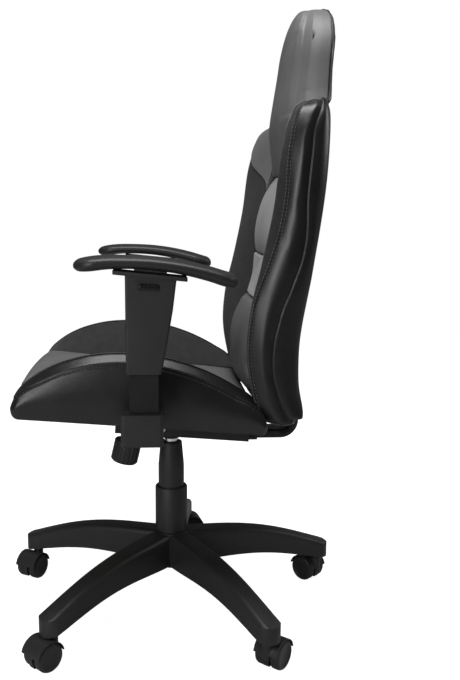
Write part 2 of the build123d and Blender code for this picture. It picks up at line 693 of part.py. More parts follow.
# height, front edge, front of the inner face, outer x, ridge x
BACK_BOLSTER = (
    (458.0, 192.0, 200.0, 250.0, 232.0),
    (500.0, 147.0, 168.0, 256.0, 234.0),
    (580.0, 128.0, 160.0, 259.0, 236.0),
    (650.0, 133.0, 178.0, 261.0, 238.0),
    (735.0, 151.0, 200.0, 264.0, 240.0),
    (830.0, 170.0, 208.0, 266.0, 242.0),
    (945.0, 187.0, 234.0, 262.0, 236.0),
    (1000.0, 207.0, 240.0, 250.0, 226.0),
    (1019.0, 236.0, 246.0, 232.0, 210.0),
)


def back_bolster():
    inner = PANEL_HALF_WIDTH + SEAM_GAP
    sections = []
    for height, front, base, outer, ridge in BACK_BOLSTER:
        rear = between(BACK_LINE, height, 1)
        plane = Plane(origin=(0, 0, height), x_dir=(1, 0, 0), z_dir=(0, 0, 1))
        sections.append(polygon_at(plane, [
            (inner, base), (ridge, front), (outer, front + 16), (outer, (front + rear) / 2 + 10),
            (outer - 14, rear), (inner, rear),
        ]))
    return loft(sections, ruled=True)


# ---- Armrests ----

def arm_top(y):
    """Height of the sloping top of the arm's sleeve."""
    return ARM_TOP_AT_MID - ARM_TOP_SLOPE * (y - ARM_MID_Y)


def arm_post(gap):
    return block((POST_X - gap, POST_X + POST_THICKNESS + gap), (POST_FRONT - gap, POST_REAR + gap),
                 (SOCKET_BOTTOM + 7 - gap, POST_TOP + gap))


def arm_strap(gap):
    middle = -60.0
    y = (middle - STRAP_WIDTH / 2 - gap, middle + STRAP_WIDTH / 2 + gap)
    return seat_place(block((STRAP_INNER_X, POST_X + POST_THICKNESS + gap), y, (-STRAP_THICKNESS - gap, gap)))


def arm_bracket():
    return arm_strap(0) + arm_post(0) - seat_bolt_holes()


def arm_socket():
    x = (POST_X - SOCKET_WALL, POST_X + POST_THICKNESS + SOCKET_WALL + 3)
    socket = block(x, (-92, -20), (SOCKET_BOTTOM, SOCKET_TOP))
    socket = fillet(socket.edges().filter_by(Axis.Z), 7)
    socket = fillet(socket.edges().group_by(Axis.Z)[0], 5)
    return socket - arm_post(SLIDE_GAP) - arm_strap(SLIDE_GAP)


def arm_sleeve():
    x = (SLEEVE_INNER_X, SLEEVE_OUTER_X)
    outline = [
        (SLEEVE_FRONT, SLEEVE_BOTTOM), (-23, SLEEVE_BOTTOM), (-14, 608), (-4, 666),
        (2, arm_top(2)), (SLEEVE_FRONT, arm_top(SLEEVE_FRONT)),
    ]
    sleeve = side_shape(outline, x)
    long_edges = [edge for edge in sleeve.edges() if edge.bounding_box().size.Z > 40]
    sleeve = fillet(long_edges, 3.5)
    cavity_top = POST_TOP + ARM_STROKE + 2
    sleeve -= block((POST_X - SLIDE_GAP, POST_X + POST_THICKNESS + SLIDE_GAP),
                    (POST_FRONT - SLIDE_GAP, POST_REAR + SLIDE_GAP), (SLEEVE_BOTTOM - 1, cavity_top))
    return sleeve - button_block(SLIDE_GAP, SLEEVE_OUTER_X - 9, SLEEVE_OUTER_X + 1)


def button_block(gap, inner_x, outer_x):
    y = (BUTTON_FRONT - gap, BUTTON_REAR + gap)
    z = (BUTTON_BOTTOM - gap, BUTTON_BOTTOM + BUTTON_HEIGHT + gap)
    shape = block((inner_x, outer_x), y, z)
    return fillet(shape.edges().filter_by(Axis.X), 4.5)


def arm_button():
    button = button_block(0, SLEEVE_OUTER_X - 9 + BUTTON_TRAVEL + 0.5, SLEEVE_OUTER_X + 3.5)
    return chamfer(button.faces().sort_by(Axis.X)[-1].edges(), 1.2)


def arm_pad_plate():
    front, rear, deep = PAD_PLATE_FRONT, PAD_PLATE_REAR, PAD_PLATE_THICKNESS
    outline = [(front, arm_top(front)), (rear, arm_top(rear)), (rear, arm_top(rear) + deep),
               (front, arm_top(front) + deep)]
    middle = (SLEEVE_INNER_X + SLEEVE_OUTER_X) / 2 - 8
    plate = side_shape(outline, (middle - PAD_PLATE_WIDTH / 2, middle + PAD_PLATE_WIDTH / 2))
    upright = [edge for edge in plate.edges() if edge.length < deep + 0.1]
    return fillet(upright, 3)


def arm_pad():
    def rest(y):
        return arm_top(y) + PAD_PLATE_THICKNESS + SOFT_GAP

    crown = Spline((0, PAD_FRONT, 742), (0, -150, 751), (0, -74, 755.5), (0, 0, 749), (0, 60, 736),
                   (0, PAD_REAR, 716))
    under = Polyline(crown @ 1, (0, 97, 705), (0, 57, 711), (0, 24, rest(24)),
                     (0, -106, rest(-106)), (0, -152, 729), crown @ 0)
    pad = Pos(-80, 0, 0) * extrude(make_face(crown + under), amount=160, dir=(1, 0, 0))
    middle = (PAD_FRONT + PAD_REAR) / 2
    plan = block((-PAD_WIDTH / 2, PAD_WIDTH / 2), (PAD_FRONT, PAD_REAR), (690, 770))
    plan = fillet(plan.edges().filter_by(Axis.Z), 36)
    pad &= plan
    return Pos(PAD_X, middle, 0) * Rot(0, 0, PAD_TOE) * Pos(0, -middle, 0) * pad


# ---- Writing the pieces ----

def pieces():
    parts = {
        "base_star": base_star(),
        "column_tube": column_tube(),
        "column_lower_cover": column_lower_cover(),
        "piston_rod": piston_rod(),
        "gas_cylinder": gas_cylinder(),
        "column_upper_cover": column_upper_cover(),
        "mechanism_housing": mechanism_housing(),
        "tilt_pivot_pin": tilt_pivot_pin(),
        "tension_spring": tension_spring(),
        "tension_bolt": tension_bolt(),
        "tension_knob": tension_knob(),
        "lift_lever": lift_lever(),
        "seat_plate": seat_plate(),
        "seat_board": seat_board(),
        "seat_center_pad": seat_center_pad(),
        "frame_bolts": frame_bolts(),
        "back_bracket": back_bracket(),
        "recline_pin": recline_pin(),
        "back_frame": back_frame(),
        "lumbar_pad": lumbar_pad(),
        "lumbar_band": lumbar_band(),
        "upper_back_pad": upper_back_pad(),
        "headrest_pad": headrest_pad(),
        "back_rear_panel": back_rear_panel(),
    }
    paired = {
        "seat_bolster": seat_bolster, "back_bolster": back_bolster, "arm_bracket": arm_bracket,
        "arm_socket": arm_socket, "arm_sleeve": arm_sleeve, "arm_pad_plate": arm_pad_plate,
        "arm_pad": arm_pad, "arm_button": arm_button,
    }
    for name, make in paired.items():
        parts[name + "_left"] = make()
        parts[name + "_right"] = mirrored(parts[name + "_left"])
    hood, pins = caster_hood(), caster_pins()
    wheels = {"left": caster_wheel(1), "right": caster_wheel(-1)}
    for number in range(LEG_COUNT):
        caster = f"caster_{number + 1}"
        parts[caster + "_hood"] = caster_place(number, hood)
        parts[caster + "_stem_and_axle"] = caster_place(number, pins)
        for side, wheel in wheels.items():
            parts[f"{caster}_wheel_{side}"] = caster_place(number, wheel)
    return parts


os.makedirs("parts", exist_ok=True)
for name, shape in pieces().items():
    export_step(shape, f"parts/{name}.step")
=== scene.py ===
import json
import math
import bmesh
import bpy
import numpy as np
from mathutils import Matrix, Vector


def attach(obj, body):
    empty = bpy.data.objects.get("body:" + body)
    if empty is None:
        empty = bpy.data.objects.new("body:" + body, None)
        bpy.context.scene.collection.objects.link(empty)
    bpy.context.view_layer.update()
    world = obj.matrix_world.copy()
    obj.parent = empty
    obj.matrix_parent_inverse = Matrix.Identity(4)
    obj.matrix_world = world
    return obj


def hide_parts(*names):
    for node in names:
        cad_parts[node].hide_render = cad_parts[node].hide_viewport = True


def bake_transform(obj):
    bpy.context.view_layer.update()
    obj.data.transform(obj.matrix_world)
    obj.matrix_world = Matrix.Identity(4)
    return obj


# Looks of the gaming chair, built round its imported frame. Metres, in the frame's own axes:
# +Z up, the sitter faces -Y, +X is the sitter's left.

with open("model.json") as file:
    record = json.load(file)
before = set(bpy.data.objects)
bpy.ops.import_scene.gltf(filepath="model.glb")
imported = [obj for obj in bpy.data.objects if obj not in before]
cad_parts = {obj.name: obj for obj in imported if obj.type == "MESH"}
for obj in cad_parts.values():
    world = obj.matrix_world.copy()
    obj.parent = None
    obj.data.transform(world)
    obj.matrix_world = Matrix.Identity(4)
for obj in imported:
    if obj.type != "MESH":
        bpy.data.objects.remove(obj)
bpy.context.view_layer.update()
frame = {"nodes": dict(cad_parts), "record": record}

SEAT_SLOPE = math.radians(4.5)
SEAT_HEIGHT = 0.444
PANEL_HALF = 0.150      # half the width between the side bolsters
PAD_HALF = 0.1495       # the front pads stop just short of them
BOARD_FACE = -0.0225    # the back frame's front face, from the rear line
STRAY_AXIS = np.array([0.31, 0.17, 0.93])   # along no cord, so crossing it always gives a side
PER = 4                 # samples between two controls of a rounded loop


def corner(number):
    """Sample of a rounded loop that lies at one of its corners."""
    return (3 * number + 1) * PER


# ---- Curves and meshes from whole arrays ----

def smooth(x, stations, values):
    """Cubic curve through the stations, with slopes taken from their neighbours."""
    stations, values = np.asarray(stations, float), np.asarray(values, float)
    slopes = np.gradient(values, stations)
    x = np.clip(x, stations[0], stations[-1])
    i = np.clip(np.searchsorted(stations, x, side="right") - 1, 0, len(stations) - 2)
    width = stations[i + 1] - stations[i]
    t = (x - stations[i]) / width
    return ((2 * t**3 - 3 * t**2 + 1) * values[i] + (t**3 - 2 * t**2 + t) * width * slopes[i]
            + (3 * t**2 - 2 * t**3) * values[i + 1] + (t**3 - t**2) * width * slopes[i + 1])


def smooth_rows(x, stations, values):
    """The same cubic curve, with a row of values of its own for every point."""
    slopes = np.gradient(values, stations, axis=-1)
    i = np.clip(np.searchsorted(stations, x, side="right") - 1, 0, len(stations) - 2)
    width = stations[i + 1] - stations[i]
    t = (x - stations[i]) / width

    def at(table, k):
        return np.take_along_axis(table, k[..., None], -1)[..., 0]
    return ((2 * t**3 - 3 * t**2 + 1) * at(values, i) + (t**3 - 2 * t**2 + t) * width * at(slopes, i)
            + (3 * t**2 - 2 * t**3) * at(values, i + 1) + (t**3 - t**2) * width * at(slopes, i + 1))


def columns(x, table):
    """Every column of a station table, made smooth along its first column."""
    table = np.asarray(table, float)
    return [smooth(x, table[:, 0], table[:, c]) for c in range(1, table.shape[1])]


def rounded_loop(corners, radii, per_control=PER):
    """Closed B-spline round each row's corners, with three controls to a corner: one at the corner and one
    on each side of it at the corner's radius. Corner c lies at sample (3 c + 1) * per_control."""
    rings, count, axes = corners.shape
    before = np.roll(corners, 1, axis=1) - corners
    after = np.roll(corners, -1, axis=1) - corners
    reach = np.broadcast_to(np.asarray(radii, float), (rings, count))[..., None]
    length_before = np.maximum(np.linalg.norm(before, axis=2, keepdims=True), 1e-6)
    length_after = np.maximum(np.linalg.norm(after, axis=2, keepdims=True), 1e-6)
    one = corners + before / length_before * np.minimum(reach, 0.4 * length_before)
    two = corners + after / length_after * np.minimum(reach, 0.4 * length_after)
    controls = np.stack([one, corners, two], axis=2).reshape(rings, count * 3, axes)
    total = count * 3 * per_control
    s = np.arange(total) / per_control
    i, f = np.floor(s).astype(int), s - np.floor(s)
    basis = np.zeros((total, count * 3))
    weights = ((1 - f)**3, 3 * f**3 - 6 * f**2 + 4, -3 * f**3 + 3 * f**2 + 3 * f + 1, f**3)
    for step, weight in zip((-1, 0, 1, 2), weights):
        basis[np.arange(total), (i + step) % (count * 3)] += weight / 6
    return np.einsum("mk,rkc->rmc", basis, controls)


def end_rounding(distance, radius):
    """Share of full size at a distance from a rounded end: a quarter circle of that radius."""
    d = np.clip(distance / radius, 0, 1)
    return np.sqrt(1 - (1 - d)**2)


def new_object(name, points, faces):
    """A smooth-shaded object at the origin, from points and faces."""
    mesh = bpy.data.meshes.new(name)
    mesh.from_pydata(points.tolist(), [], faces)
    mesh.validate()
    mesh.update()
    mesh.shade_smooth()
    made = bpy.data.objects.new(name, mesh)
    bpy.context.scene.collection.objects.link(made)
    return made


def ring_faces(rings, around):
    """Quads between neighbouring rings, and a fan to a pole at each end."""
    i, j = np.meshgrid(np.arange(rings - 1), np.arange(around), indexing="ij")
    k = (j + 1) % around
    quads = np.stack([i * around + j, i * around + k, (i + 1) * around + k, (i + 1) * around + j], -1)
    faces = quads.reshape(-1, 4).tolist()
    first, last = rings * around, rings * around + 1
    j = np.arange(around)
    k = (j + 1) % around
    faces += np.stack([np.full(around, first), k, j], -1).tolist()
    base = (rings - 1) * around
    faces += np.stack([np.full(around, last), base + j, base + k], -1).tolist()
    return faces


def signed_volume(points, faces):
    """Six times the volume inside the faces: the sum of a . (b x c) over their triangles. It is negative when
    they point inwards."""
    fan = np.array([[f[0], f[n], f[n + 1]] for f in faces for n in range(1, len(f) - 1)])
    a, b, c = points[fan[:, 0]], points[fan[:, 1]], points[fan[:, 2]]
    return np.einsum("ij,ij->i", a, np.cross(b, c)).sum()


def ring_body(name, rings):
    """Closed body through rings of points, with a pole at the middle of each end ring."""
    count, around, _ = rings.shape
    points = np.concatenate([rings.reshape(-1, 3), [rings[0].mean(0)], [rings[-1].mean(0)]])
    faces = ring_faces(count, around)
    if signed_volume(points, faces) < 0:
        faces = [f[::-1] for f in faces]
    made = new_object(name, points, faces)
    made["rings"], made["around"] = count, around
    return made


def tube(name, path, radius, sides=10):
    """Round tube along a path: at each point a circle across the path's direction. Its ends taper shut."""
    path = np.asarray(path, float)
    along = np.gradient(path, axis=0)
    along /= np.linalg.norm(along, axis=1, keepdims=True)
    side = np.cross(along, STRAY_AXIS)
    side /= np.linalg.norm(side, axis=1, keepdims=True)
    up = np.cross(side, along)
    turn = np.linspace(0, 2 * np.pi, sides, endpoint=False)
    size = np.full(len(path), radius)
    size[[0, -1]] *= 0.4
    rings = (path[:, None] + size[:, None, None] * (np.cos(turn)[None, :, None] * side[:, None]
                                                    + np.sin(turn)[None, :, None] * up[:, None]))
    return ring_body(name, rings)


def along_path(path, spacing):
    """Evenly spaced points on a path, and the path's direction at each."""
    path = np.asarray(path, float)
    run = np.concatenate([[0], np.cumsum(np.linalg.norm(np.diff(path, axis=0), axis=1))])
    at = np.arange(spacing / 2, run[-1], spacing)
    points = np.stack([np.interp(at, run, path[:, c]) for c in range(3)], 1)
    slopes = np.gradient(path, run, axis=0)
    direction = np.stack([np.interp(at, run, slopes[:, c]) for c in range(3)], 1)
    return points, direction / np.linalg.norm(direction, axis=1, keepdims=True)


def stitches(name, path, spacing=0.0065, length=0.0042, radius=0.00055):
    """One small thread bead per stitch: six-sided rings, thin at both ends, repeated along the path."""
    points, direction = along_path(path, spacing)
    side = np.cross(direction, STRAY_AXIS)
    side /= np.linalg.norm(side, axis=1, keepdims=True)
    up = np.cross(side, direction)
    offset = np.array([-0.5, -0.35, 0.35, 0.5]) * length
    size = np.array([0.35, 1.0, 1.0, 0.35]) * radius
    turn = np.linspace(0, 2 * np.pi, 6, endpoint=False)
    circle = np.cos(turn)[:, None, None] * side + np.sin(turn)[:, None, None] * up
    rings = (points[:, None, None] + offset[None, :, None, None] * direction[:, None, None]
             + size[None, :, None, None] * circle.transpose(1, 0, 2)[:, None])
    count = len(points)
    poles = np.stack([rings[:, 0].mean(1), rings[:, -1].mean(1)], 1)
    all_points = np.concatenate([rings.reshape(count, 24, 3), poles], 1).reshape(-1, 3)
    one = ring_faces(4, 6)
    faces = [[v + 26 * n for v in f] for n in range(count) for f in one]
    if signed_volume(all_points, faces) < 0:
        faces = [f[::-1] for f in faces]
    return new_object(name, all_points, faces)


def mirror_x(points):
    """The same points on the chair's other side."""
    return points * np.array([-1, 1, 1])


def seat_place(points):
    """From the level seat frame to the seat's slope: turned down at the rear about X, then raised."""
    x, s, h = np.moveaxis(np.asarray(points, float), -1, 0)
    y = s * math.cos(SEAT_SLOPE) + h * math.sin(SEAT_SLOPE)
    z = SEAT_HEIGHT - s * math.sin(SEAT_SLOPE) + h * math.cos(SEAT_SLOPE)
    return np.stack([x, y, z], -1)


def coordinates(piece):
    """The places of a piece's points, as an array."""
    flat = np.zeros(len(piece.data.vertices) * 3, np.float32)
    piece.data.vertices.foreach_get("co", flat)
    return flat.reshape(-1, 3).astype(float)


def set_coordinates(piece, points):
    """Moves a piece's points to the places in an array."""
    piece.data.vertices.foreach_set("co", points.astype(np.float32).ravel())
    piece.data.update()


def column_path(piece, sample):
    """The line that one sample of every ring makes along a ring body, after any simulation."""
    rings, around = piece["rings"], piece["around"]
    return coordinates(piece)[:rings * around].reshape(rings, around, 3)[:, sample % around]


# ---- Materials ----

def group_socket(group, name, kind, direction, value=None):
    """A named input or output on a shader group."""
    socket = group.interface.new_socket(name=name, in_out=direction, socket_type=kind)
    if value is not None:
        socket.default_value = value
    return socket


def grain_group(name, scale, build):
    """A shader group that puts out a relief height and a change of tone, at the scale that each material
    gives it."""
    group = bpy.data.node_groups.new(name, "ShaderNodeTree")
    group_socket(group, "Scale", "NodeSocketFloat", "INPUT", scale)
    group_socket(group, "Height", "NodeSocketFloat", "OUTPUT")
    group_socket(group, "Tone", "NodeSocketFloat", "OUTPUT")
    build(group)
    return group


def build_leather(group):
    """Pebbled cells with fine creases, and a slow change of tone."""
    nodes, link = group.nodes, group.links.new
    source, result = nodes.new("NodeGroupInput"), nodes.new("NodeGroupOutput")
    place = nodes.new("ShaderNodeTexCoord")
    cells = nodes.new("ShaderNodeTexVoronoi")
    cells.feature = "DISTANCE_TO_EDGE"
    noise = nodes.new("ShaderNodeTexNoise")
    noise.inputs["Scale"].default_value = 14.0
    noise.inputs["Detail"].default_value = 5.0
    ramp = nodes.new("ShaderNodeMapRange")
    ramp.inputs["From Max"].default_value = 0.25
    link(place.outputs["Object"], cells.inputs["Vector"])
    link(place.outputs["Object"], noise.inputs["Vector"])
    link(source.outputs["Scale"], cells.inputs["Scale"])
    link(cells.outputs["Distance"], ramp.inputs["Value"])
    link(ramp.outputs["Result"], result.inputs["Height"])
    link(noise.outputs["Fac"], result.inputs["Tone"])


def build_moulded(group):
    """Fine spark-eroded texture of moulded plastic, and a slow change of tone."""
    nodes, link = group.nodes, group.links.new
    source, result = nodes.new("NodeGroupInput"), nodes.new("NodeGroupOutput")
    place = nodes.new("ShaderNodeTexCoord")
    fine, slow = nodes.new("ShaderNodeTexNoise"), nodes.new("ShaderNodeTexNoise")
    fine.inputs["Detail"].default_value = 3.0
    slow.inputs["Scale"].default_value = 9.0
    link(place.outputs["Object"], fine.inputs["Vector"])
    link(place.outputs["Object"], slow.inputs["Vector"])
    link(source.outputs["Scale"], fine.inputs["Scale"])
    link(fine.outputs["Fac"], result.inputs["Height"])
    link(slow.outputs["Fac"], result.inputs["Tone"])


def build_cloth(group):
    """Woven threads: two crossing waves, multiplied, over a fuzz of fine noise."""
    nodes, link = group.nodes, group.links.new
    source, result = nodes.new("NodeGroupInput"), nodes.new("NodeGroupOutput")
    place = nodes.new("ShaderNodeTexCoord")
    weave = nodes.new("ShaderNodeMath")
    weave.operation = "MULTIPLY"
    for slot, direction in enumerate(("Z", "X")):
        wave = nodes.new("ShaderNodeTexWave")
        wave.bands_direction = direction
        link(place.outputs["Object"], wave.inputs["Vector"])
        link(source.outputs["Scale"], wave.inputs["Scale"])
        link(wave.outputs["Fac"], weave.inputs[slot])
    fuzz = nodes.new("ShaderNodeTexNoise")
    fuzz.inputs["Scale"].default_value = 60.0
    fuzz.inputs["Detail"].default_value = 4.0
    link(place.outputs["Object"], fuzz.inputs["Vector"])
    link(weave.outputs["Value"], result.inputs["Height"])
    link(fuzz.outputs["Fac"], result.inputs["Tone"])


def build_holes(group):
    """A grid of small round punched holes: 1 on the cloth, 0 in a hole."""
    nodes, link = group.nodes, group.links.new
    source, result = nodes.new("NodeGroupInput"), nodes.new("NodeGroupOutput")
    place = nodes.new("ShaderNodeTexCoord")
    flat = nodes.new("ShaderNodeVectorMath")
    flat.operation = "MULTIPLY"
    flat.inputs[1].default_value = (1, 0, 1)
    cells = nodes.new("ShaderNodeTexVoronoi")
    cells.inputs["Randomness"].default_value = 0.0
    ramp = nodes.new("ShaderNodeMapRange")
    ramp.inputs["From Min"].default_value = 0.2
    ramp.inputs["From Max"].default_value = 0.34
    link(place.outputs["Object"], flat.inputs[0])
    link(flat.outputs["Vector"], cells.inputs["Vector"])
    link(source.outputs["Scale"], cells.inputs["Scale"])
    link(cells.outputs["Distance"], ramp.inputs["Value"])
    link(ramp.outputs["Result"], result.inputs["Height"])
    link(ramp.outputs["Result"], result.inputs["Tone"])


LEATHER_GRAIN = grain_group("leather_grain", 420.0, build_leather)
MOULDED_GRAIN = grain_group("moulded_grain", 900.0, build_moulded)
CLOTH_WEAVE = grain_group("cloth_weave", 300.0, build_cloth)
PUNCHED_HOLES = grain_group("punched_holes", 180.0, build_holes)


def finish_with(name, group, dark, light, rough, bump, scale, metallic=0.0, coat=0.0, sheen=0.0,
                mirror=0.35):
    """Principled finish: colour runs between two tones, and roughness between two values, by the group's
    Tone. Bump is the relief's strength, and mirror the specular level."""
    made = bpy.data.materials.new(name)
    made.use_nodes = True
    nodes, link = made.node_tree.nodes, made.node_tree.links.new
    shader = nodes["Principled BSDF"]
    pattern = nodes.new("ShaderNodeGroup")
    pattern.node_tree = group
    pattern.inputs["Scale"].default_value = scale
    tint = nodes.new("ShaderNodeValToRGB")
    tint.color_ramp.elements[0].position, tint.color_ramp.elements[1].position = 0.3, 0.7
    tint.color_ramp.elements[0].color = (*dark, 1)
    tint.color_ramp.elements[1].color = (*light, 1)
    gloss = nodes.new("ShaderNodeMapRange")
    gloss.inputs["To Min"].default_value, gloss.inputs["To Max"].default_value = rough
    relief = nodes.new("ShaderNodeBump")
    relief.inputs["Strength"].default_value = bump
    relief.inputs["Distance"].default_value = 0.0006
    link(pattern.outputs["Tone"], tint.inputs["Fac"])
    link(tint.outputs["Color"], shader.inputs["Base Color"])
    link(pattern.outputs["Tone"], gloss.inputs["Value"])
    link(gloss.outputs["Result"], shader.inputs["Roughness"])
    link(pattern.outputs["Height"], relief.inputs["Height"])
    link(relief.outputs["Normal"], shader.inputs["Normal"])
    shader.inputs["Metallic"].default_value = metallic
    shader.inputs["Coat Weight"].default_value = coat
    shader.inputs["Coat Roughness"].default_value = 0.25
    shader.inputs["Sheen Weight"].default_value = sheen
    shader.inputs["Specular IOR Level"].default_value = mirror
    return made


def gray(value):
    """A neutral tone, very slightly cool."""
    return (value, value, value * 1.02)


# name: group, darkest and lightest tone, roughness from and to, relief, pattern scale, anything further
FINISHES = {
    "black_leather": (LEATHER_GRAIN, gray(0.005), gray(0.009), (0.30, 0.40), 0.12, 420,
                      {"coat": 0.05, "mirror": 0.4}),
    "gray_leather": (LEATHER_GRAIN, gray(0.097), gray(0.122), (0.40, 0.52), 0.15, 420, {}),
    "light_leather": (LEATHER_GRAIN, gray(0.24), gray(0.29), (0.45, 0.58), 0.15, 420, {}),
    "black_fabric": (CLOTH_WEAVE, gray(0.016), gray(0.023), (0.85, 0.95), 0.25, 300,
                     {"sheen": 0.1, "mirror": 0.2}),
    "light_mesh": (PUNCHED_HOLES, gray(0.12), gray(0.46), (0.6, 0.8), 0.8, 330, {}),
    "piping_black": (LEATHER_GRAIN, gray(0.008), gray(0.014), (0.3, 0.4), 0.1, 600, {}),
    "piping_gray": (LEATHER_GRAIN, gray(0.10), gray(0.14), (0.35, 0.5), 0.1, 600, {}),
    "thread_gray": (CLOTH_WEAVE, gray(0.10), gray(0.16), (0.6, 0.8), 0.2, 900, {}),
    "thread_black": (CLOTH_WEAVE, gray(0.02), gray(0.05), (0.5, 0.7), 0.2, 900, {}),
    "black_nylon": (MOULDED_GRAIN, gray(0.014), gray(0.02), (0.40, 0.52), 0.2, 1100, {}),
    "black_cover": (MOULDED_GRAIN, gray(0.014), gray(0.02), (0.45, 0.58), 0.3, 900, {}),
    "wheel_nylon": (MOULDED_GRAIN, gray(0.012), gray(0.02), (0.35, 0.5), 0.15, 1200, {}),
    "button_plastic": (MOULDED_GRAIN, gray(0.008), gray(0.012), (0.15, 0.25), 0.05, 900, {}),
    "arm_pad_skin": (MOULDED_GRAIN, gray(0.013), gray(0.019), (0.38, 0.5), 0.2, 700, {}),
    "black_steel": (MOULDED_GRAIN, gray(0.010), gray(0.016), (0.3, 0.4), 0.25, 500, {"metallic": 0.2}),
    "zinc_steel": (MOULDED_GRAIN, gray(0.45), gray(0.6), (0.25, 0.4), 0.1, 800, {"metallic": 1.0}),
    "spring_steel": (MOULDED_GRAIN, gray(0.12), gray(0.2), (0.3, 0.45), 0.1, 800, {"metallic": 1.0}),
    "chrome_rod": (MOULDED_GRAIN, gray(0.6), gray(0.7), (0.08, 0.14), 0.02, 800, {"metallic": 1.0}),
    "board_plywood": (MOULDED_GRAIN, (0.30, 0.20, 0.11), (0.42, 0.29, 0.17), (0.55, 0.75), 0.3, 200, {}),
}
MATERIALS = {name: finish_with(name, *values, **further) for name, (*values, further) in FINISHES.items()}


def wear(piece, *names):
    """Gives a piece its materials, in the order of its faces' material numbers."""
    piece.data.materials.clear()
    for name in names:
        piece.data.materials.append(MATERIALS[name])
    return piece


def fit(piece, body, *replaced, slot=None, fill=None):
    """Fastens a piece to its body, and hides the imported parts that it stands in for."""
    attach(piece, body)
    if replaced:
        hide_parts(*replaced)
    return piece


# ---- Cloth ----

CLOTH_PIECES = []


def to_inflate(piece, pinned, pressure, cap):
    """Lists a piece for the cloth run. Pinned samples of every ring stay, the rest may move up to the cap."""
    CLOTH_PIECES.append((piece, pinned, pressure, cap))


def run_cloth(frames=16):
    """Runs every listed piece's cloth together, caps each point's travel, and keeps the result in the mesh."""
    rest = {}
    for piece, pinned, pressure, _ in CLOTH_PIECES:
        rest[piece.name] = coordinates(piece)
        pins = piece.vertex_groups.new(name="seams")
        pins.add(np.flatnonzero(pinned).tolist(), 1.0, "REPLACE")
        cloth = piece.modifiers.new("cloth", "CLOTH").settings
        cloth.quality = 4
        cloth.mass = 0.25
        cloth.tension_stiffness = cloth.compression_stiffness = 12
        cloth.shear_stiffness = 6
        cloth.bending_stiffness = 0.4
        cloth.use_pressure = True
        cloth.uniform_pressure_force = pressure
        cloth.vertex_group_mass = "seams"
        cloth.effector_weights.gravity = 0
    scene = bpy.context.scene
    scene.frame_start, scene.frame_end = 1, frames
    for number in range(1, frames + 1):
        scene.frame_set(number)
    graph = bpy.context.evaluated_depsgraph_get()
    shapes = {}
    for piece, _, _, cap in CLOTH_PIECES:
        shown = piece.evaluated_get(graph)
        flat = np.zeros(len(shown.data.vertices) * 3, np.float32)
        shown.data.vertices.foreach_get("co", flat)
        move = flat.reshape(-1, 3) - rest[piece.name]
        length = np.maximum(np.linalg.norm(move, axis=1, keepdims=True), 1e-9)
        shapes[piece.name] = rest[piece.name] + move * np.minimum(1, cap / length)
    for piece, *_ in CLOTH_PIECES:
        piece.modifiers.clear()
        piece.vertex_groups.clear()
        set_coordinates(piece, shapes[piece.name])
    scene.frame_set(1)


def pinned_samples(piece, samples, spread=0, ends=1):
    """Marks the given samples of every ring, the rings at both ends, and the poles."""
    rings, around = piece["rings"], piece["around"]
    mask = np.zeros((rings, around), bool)
    for sample in samples:
        for near in range(-spread, spread + 1):
            mask[:, (sample + near) % around] = True
    mask[:ends] = mask[-ends:] = True
    return np.concatenate([mask.ravel(), [True, True]])


def press_seam(piece, sample, depth, spread=1):
    """Pulls the samples at a seam towards the middle of their ring, most at the seam itself, and less and
    less over the last rings at both ends."""
    rings, around = piece["rings"], piece["around"]
    points = coordinates(piece)
    grid = points[:rings * around].reshape(rings, around, 3)
    middle = grid.mean(1, keepdims=True)
    from_end = np.minimum(np.arange(rings), rings - 1 - np.arange(rings))
    fade = np.clip((from_end - 3) / 12, 0, 1)[:, None]
    for near in range(-spread, spread + 1):
        column = (sample + near) % around
        inward = middle[:, 0] - grid[:, column]
        inward /= np.maximum(np.linalg.norm(inward, axis=1, keepdims=True), 1e-6)
        grid[:, column] += inward * fade * depth * (1 - abs(near) / (spread + 1))
    set_coordinates(piece, points)


def finer(piece, levels=1):
    """Smooth subdivision, the same in the view and the render."""
    smoother = piece.modifiers.new("smoother", "SUBSURF")
    smoother.levels = smoother.render_levels = levels
    return piece


# ---- Backrest ----

# height, rearward place of the backrest's rear edge
BACK_LINE = np.array((
    (440, 236), (500, 225), (580, 222), (725, 244), (850, 261), (1016, 273), (1240, 292))) / 1000
# height, front edge, front of the inner face, outer x, ridge x
WING = np.array((
    (446, 174, 190, 250, 232), (458, 156, 180, 253, 235), (474, 147, 171, 255, 236),
    (505, 139, 162, 257, 236), (580, 128, 160, 259, 236), (650, 133, 178, 261, 238),
    (735, 151, 200, 264, 240), (830, 170, 208, 266, 242), (945, 187, 234, 262, 236), (980, 198, 238, 255, 231),
    (1005, 211, 242, 243, 221), (1021, 228, 246, 224, 204))) / 1000
# height, rearward place of the piping on the wing's side
PIPING = np.array((
    (447, 212), (466, 201), (482, 193), (509, 184), (536, 177), (580, 175), (607, 178), (633, 184), (659, 191),
    (685, 202), (711, 211), (736, 220), (770, 227), (854, 229), (929, 236), (969, 241), (998, 253),
    (1021, 262))) / 1000
# height, how far the stitched seam lies behind the front edge
SEAM_BACK = np.array((
    (447, 5), (600, 5), (680, 7), (728, 14), (778, 20), (854, 20), (929, 15), (998, 8), (1021, 6))) / 1000
WING_INNER, WING_RIDGE, WING_SEAM, WING_PIPING, WING_REAR_OUTER, WING_REAR_INNER = (
    corner(number) for number in (0, 1, 2, 4, 5, 6))


def ends_close(low, high, count, pull=0.75):
    """Stations from low to high, closer together at both ends by a sine term."""
    u = np.linspace(0, 1, count)
    return low + (high - low) * (u - pull * np.sin(2 * np.pi * u) / (2 * np.pi))


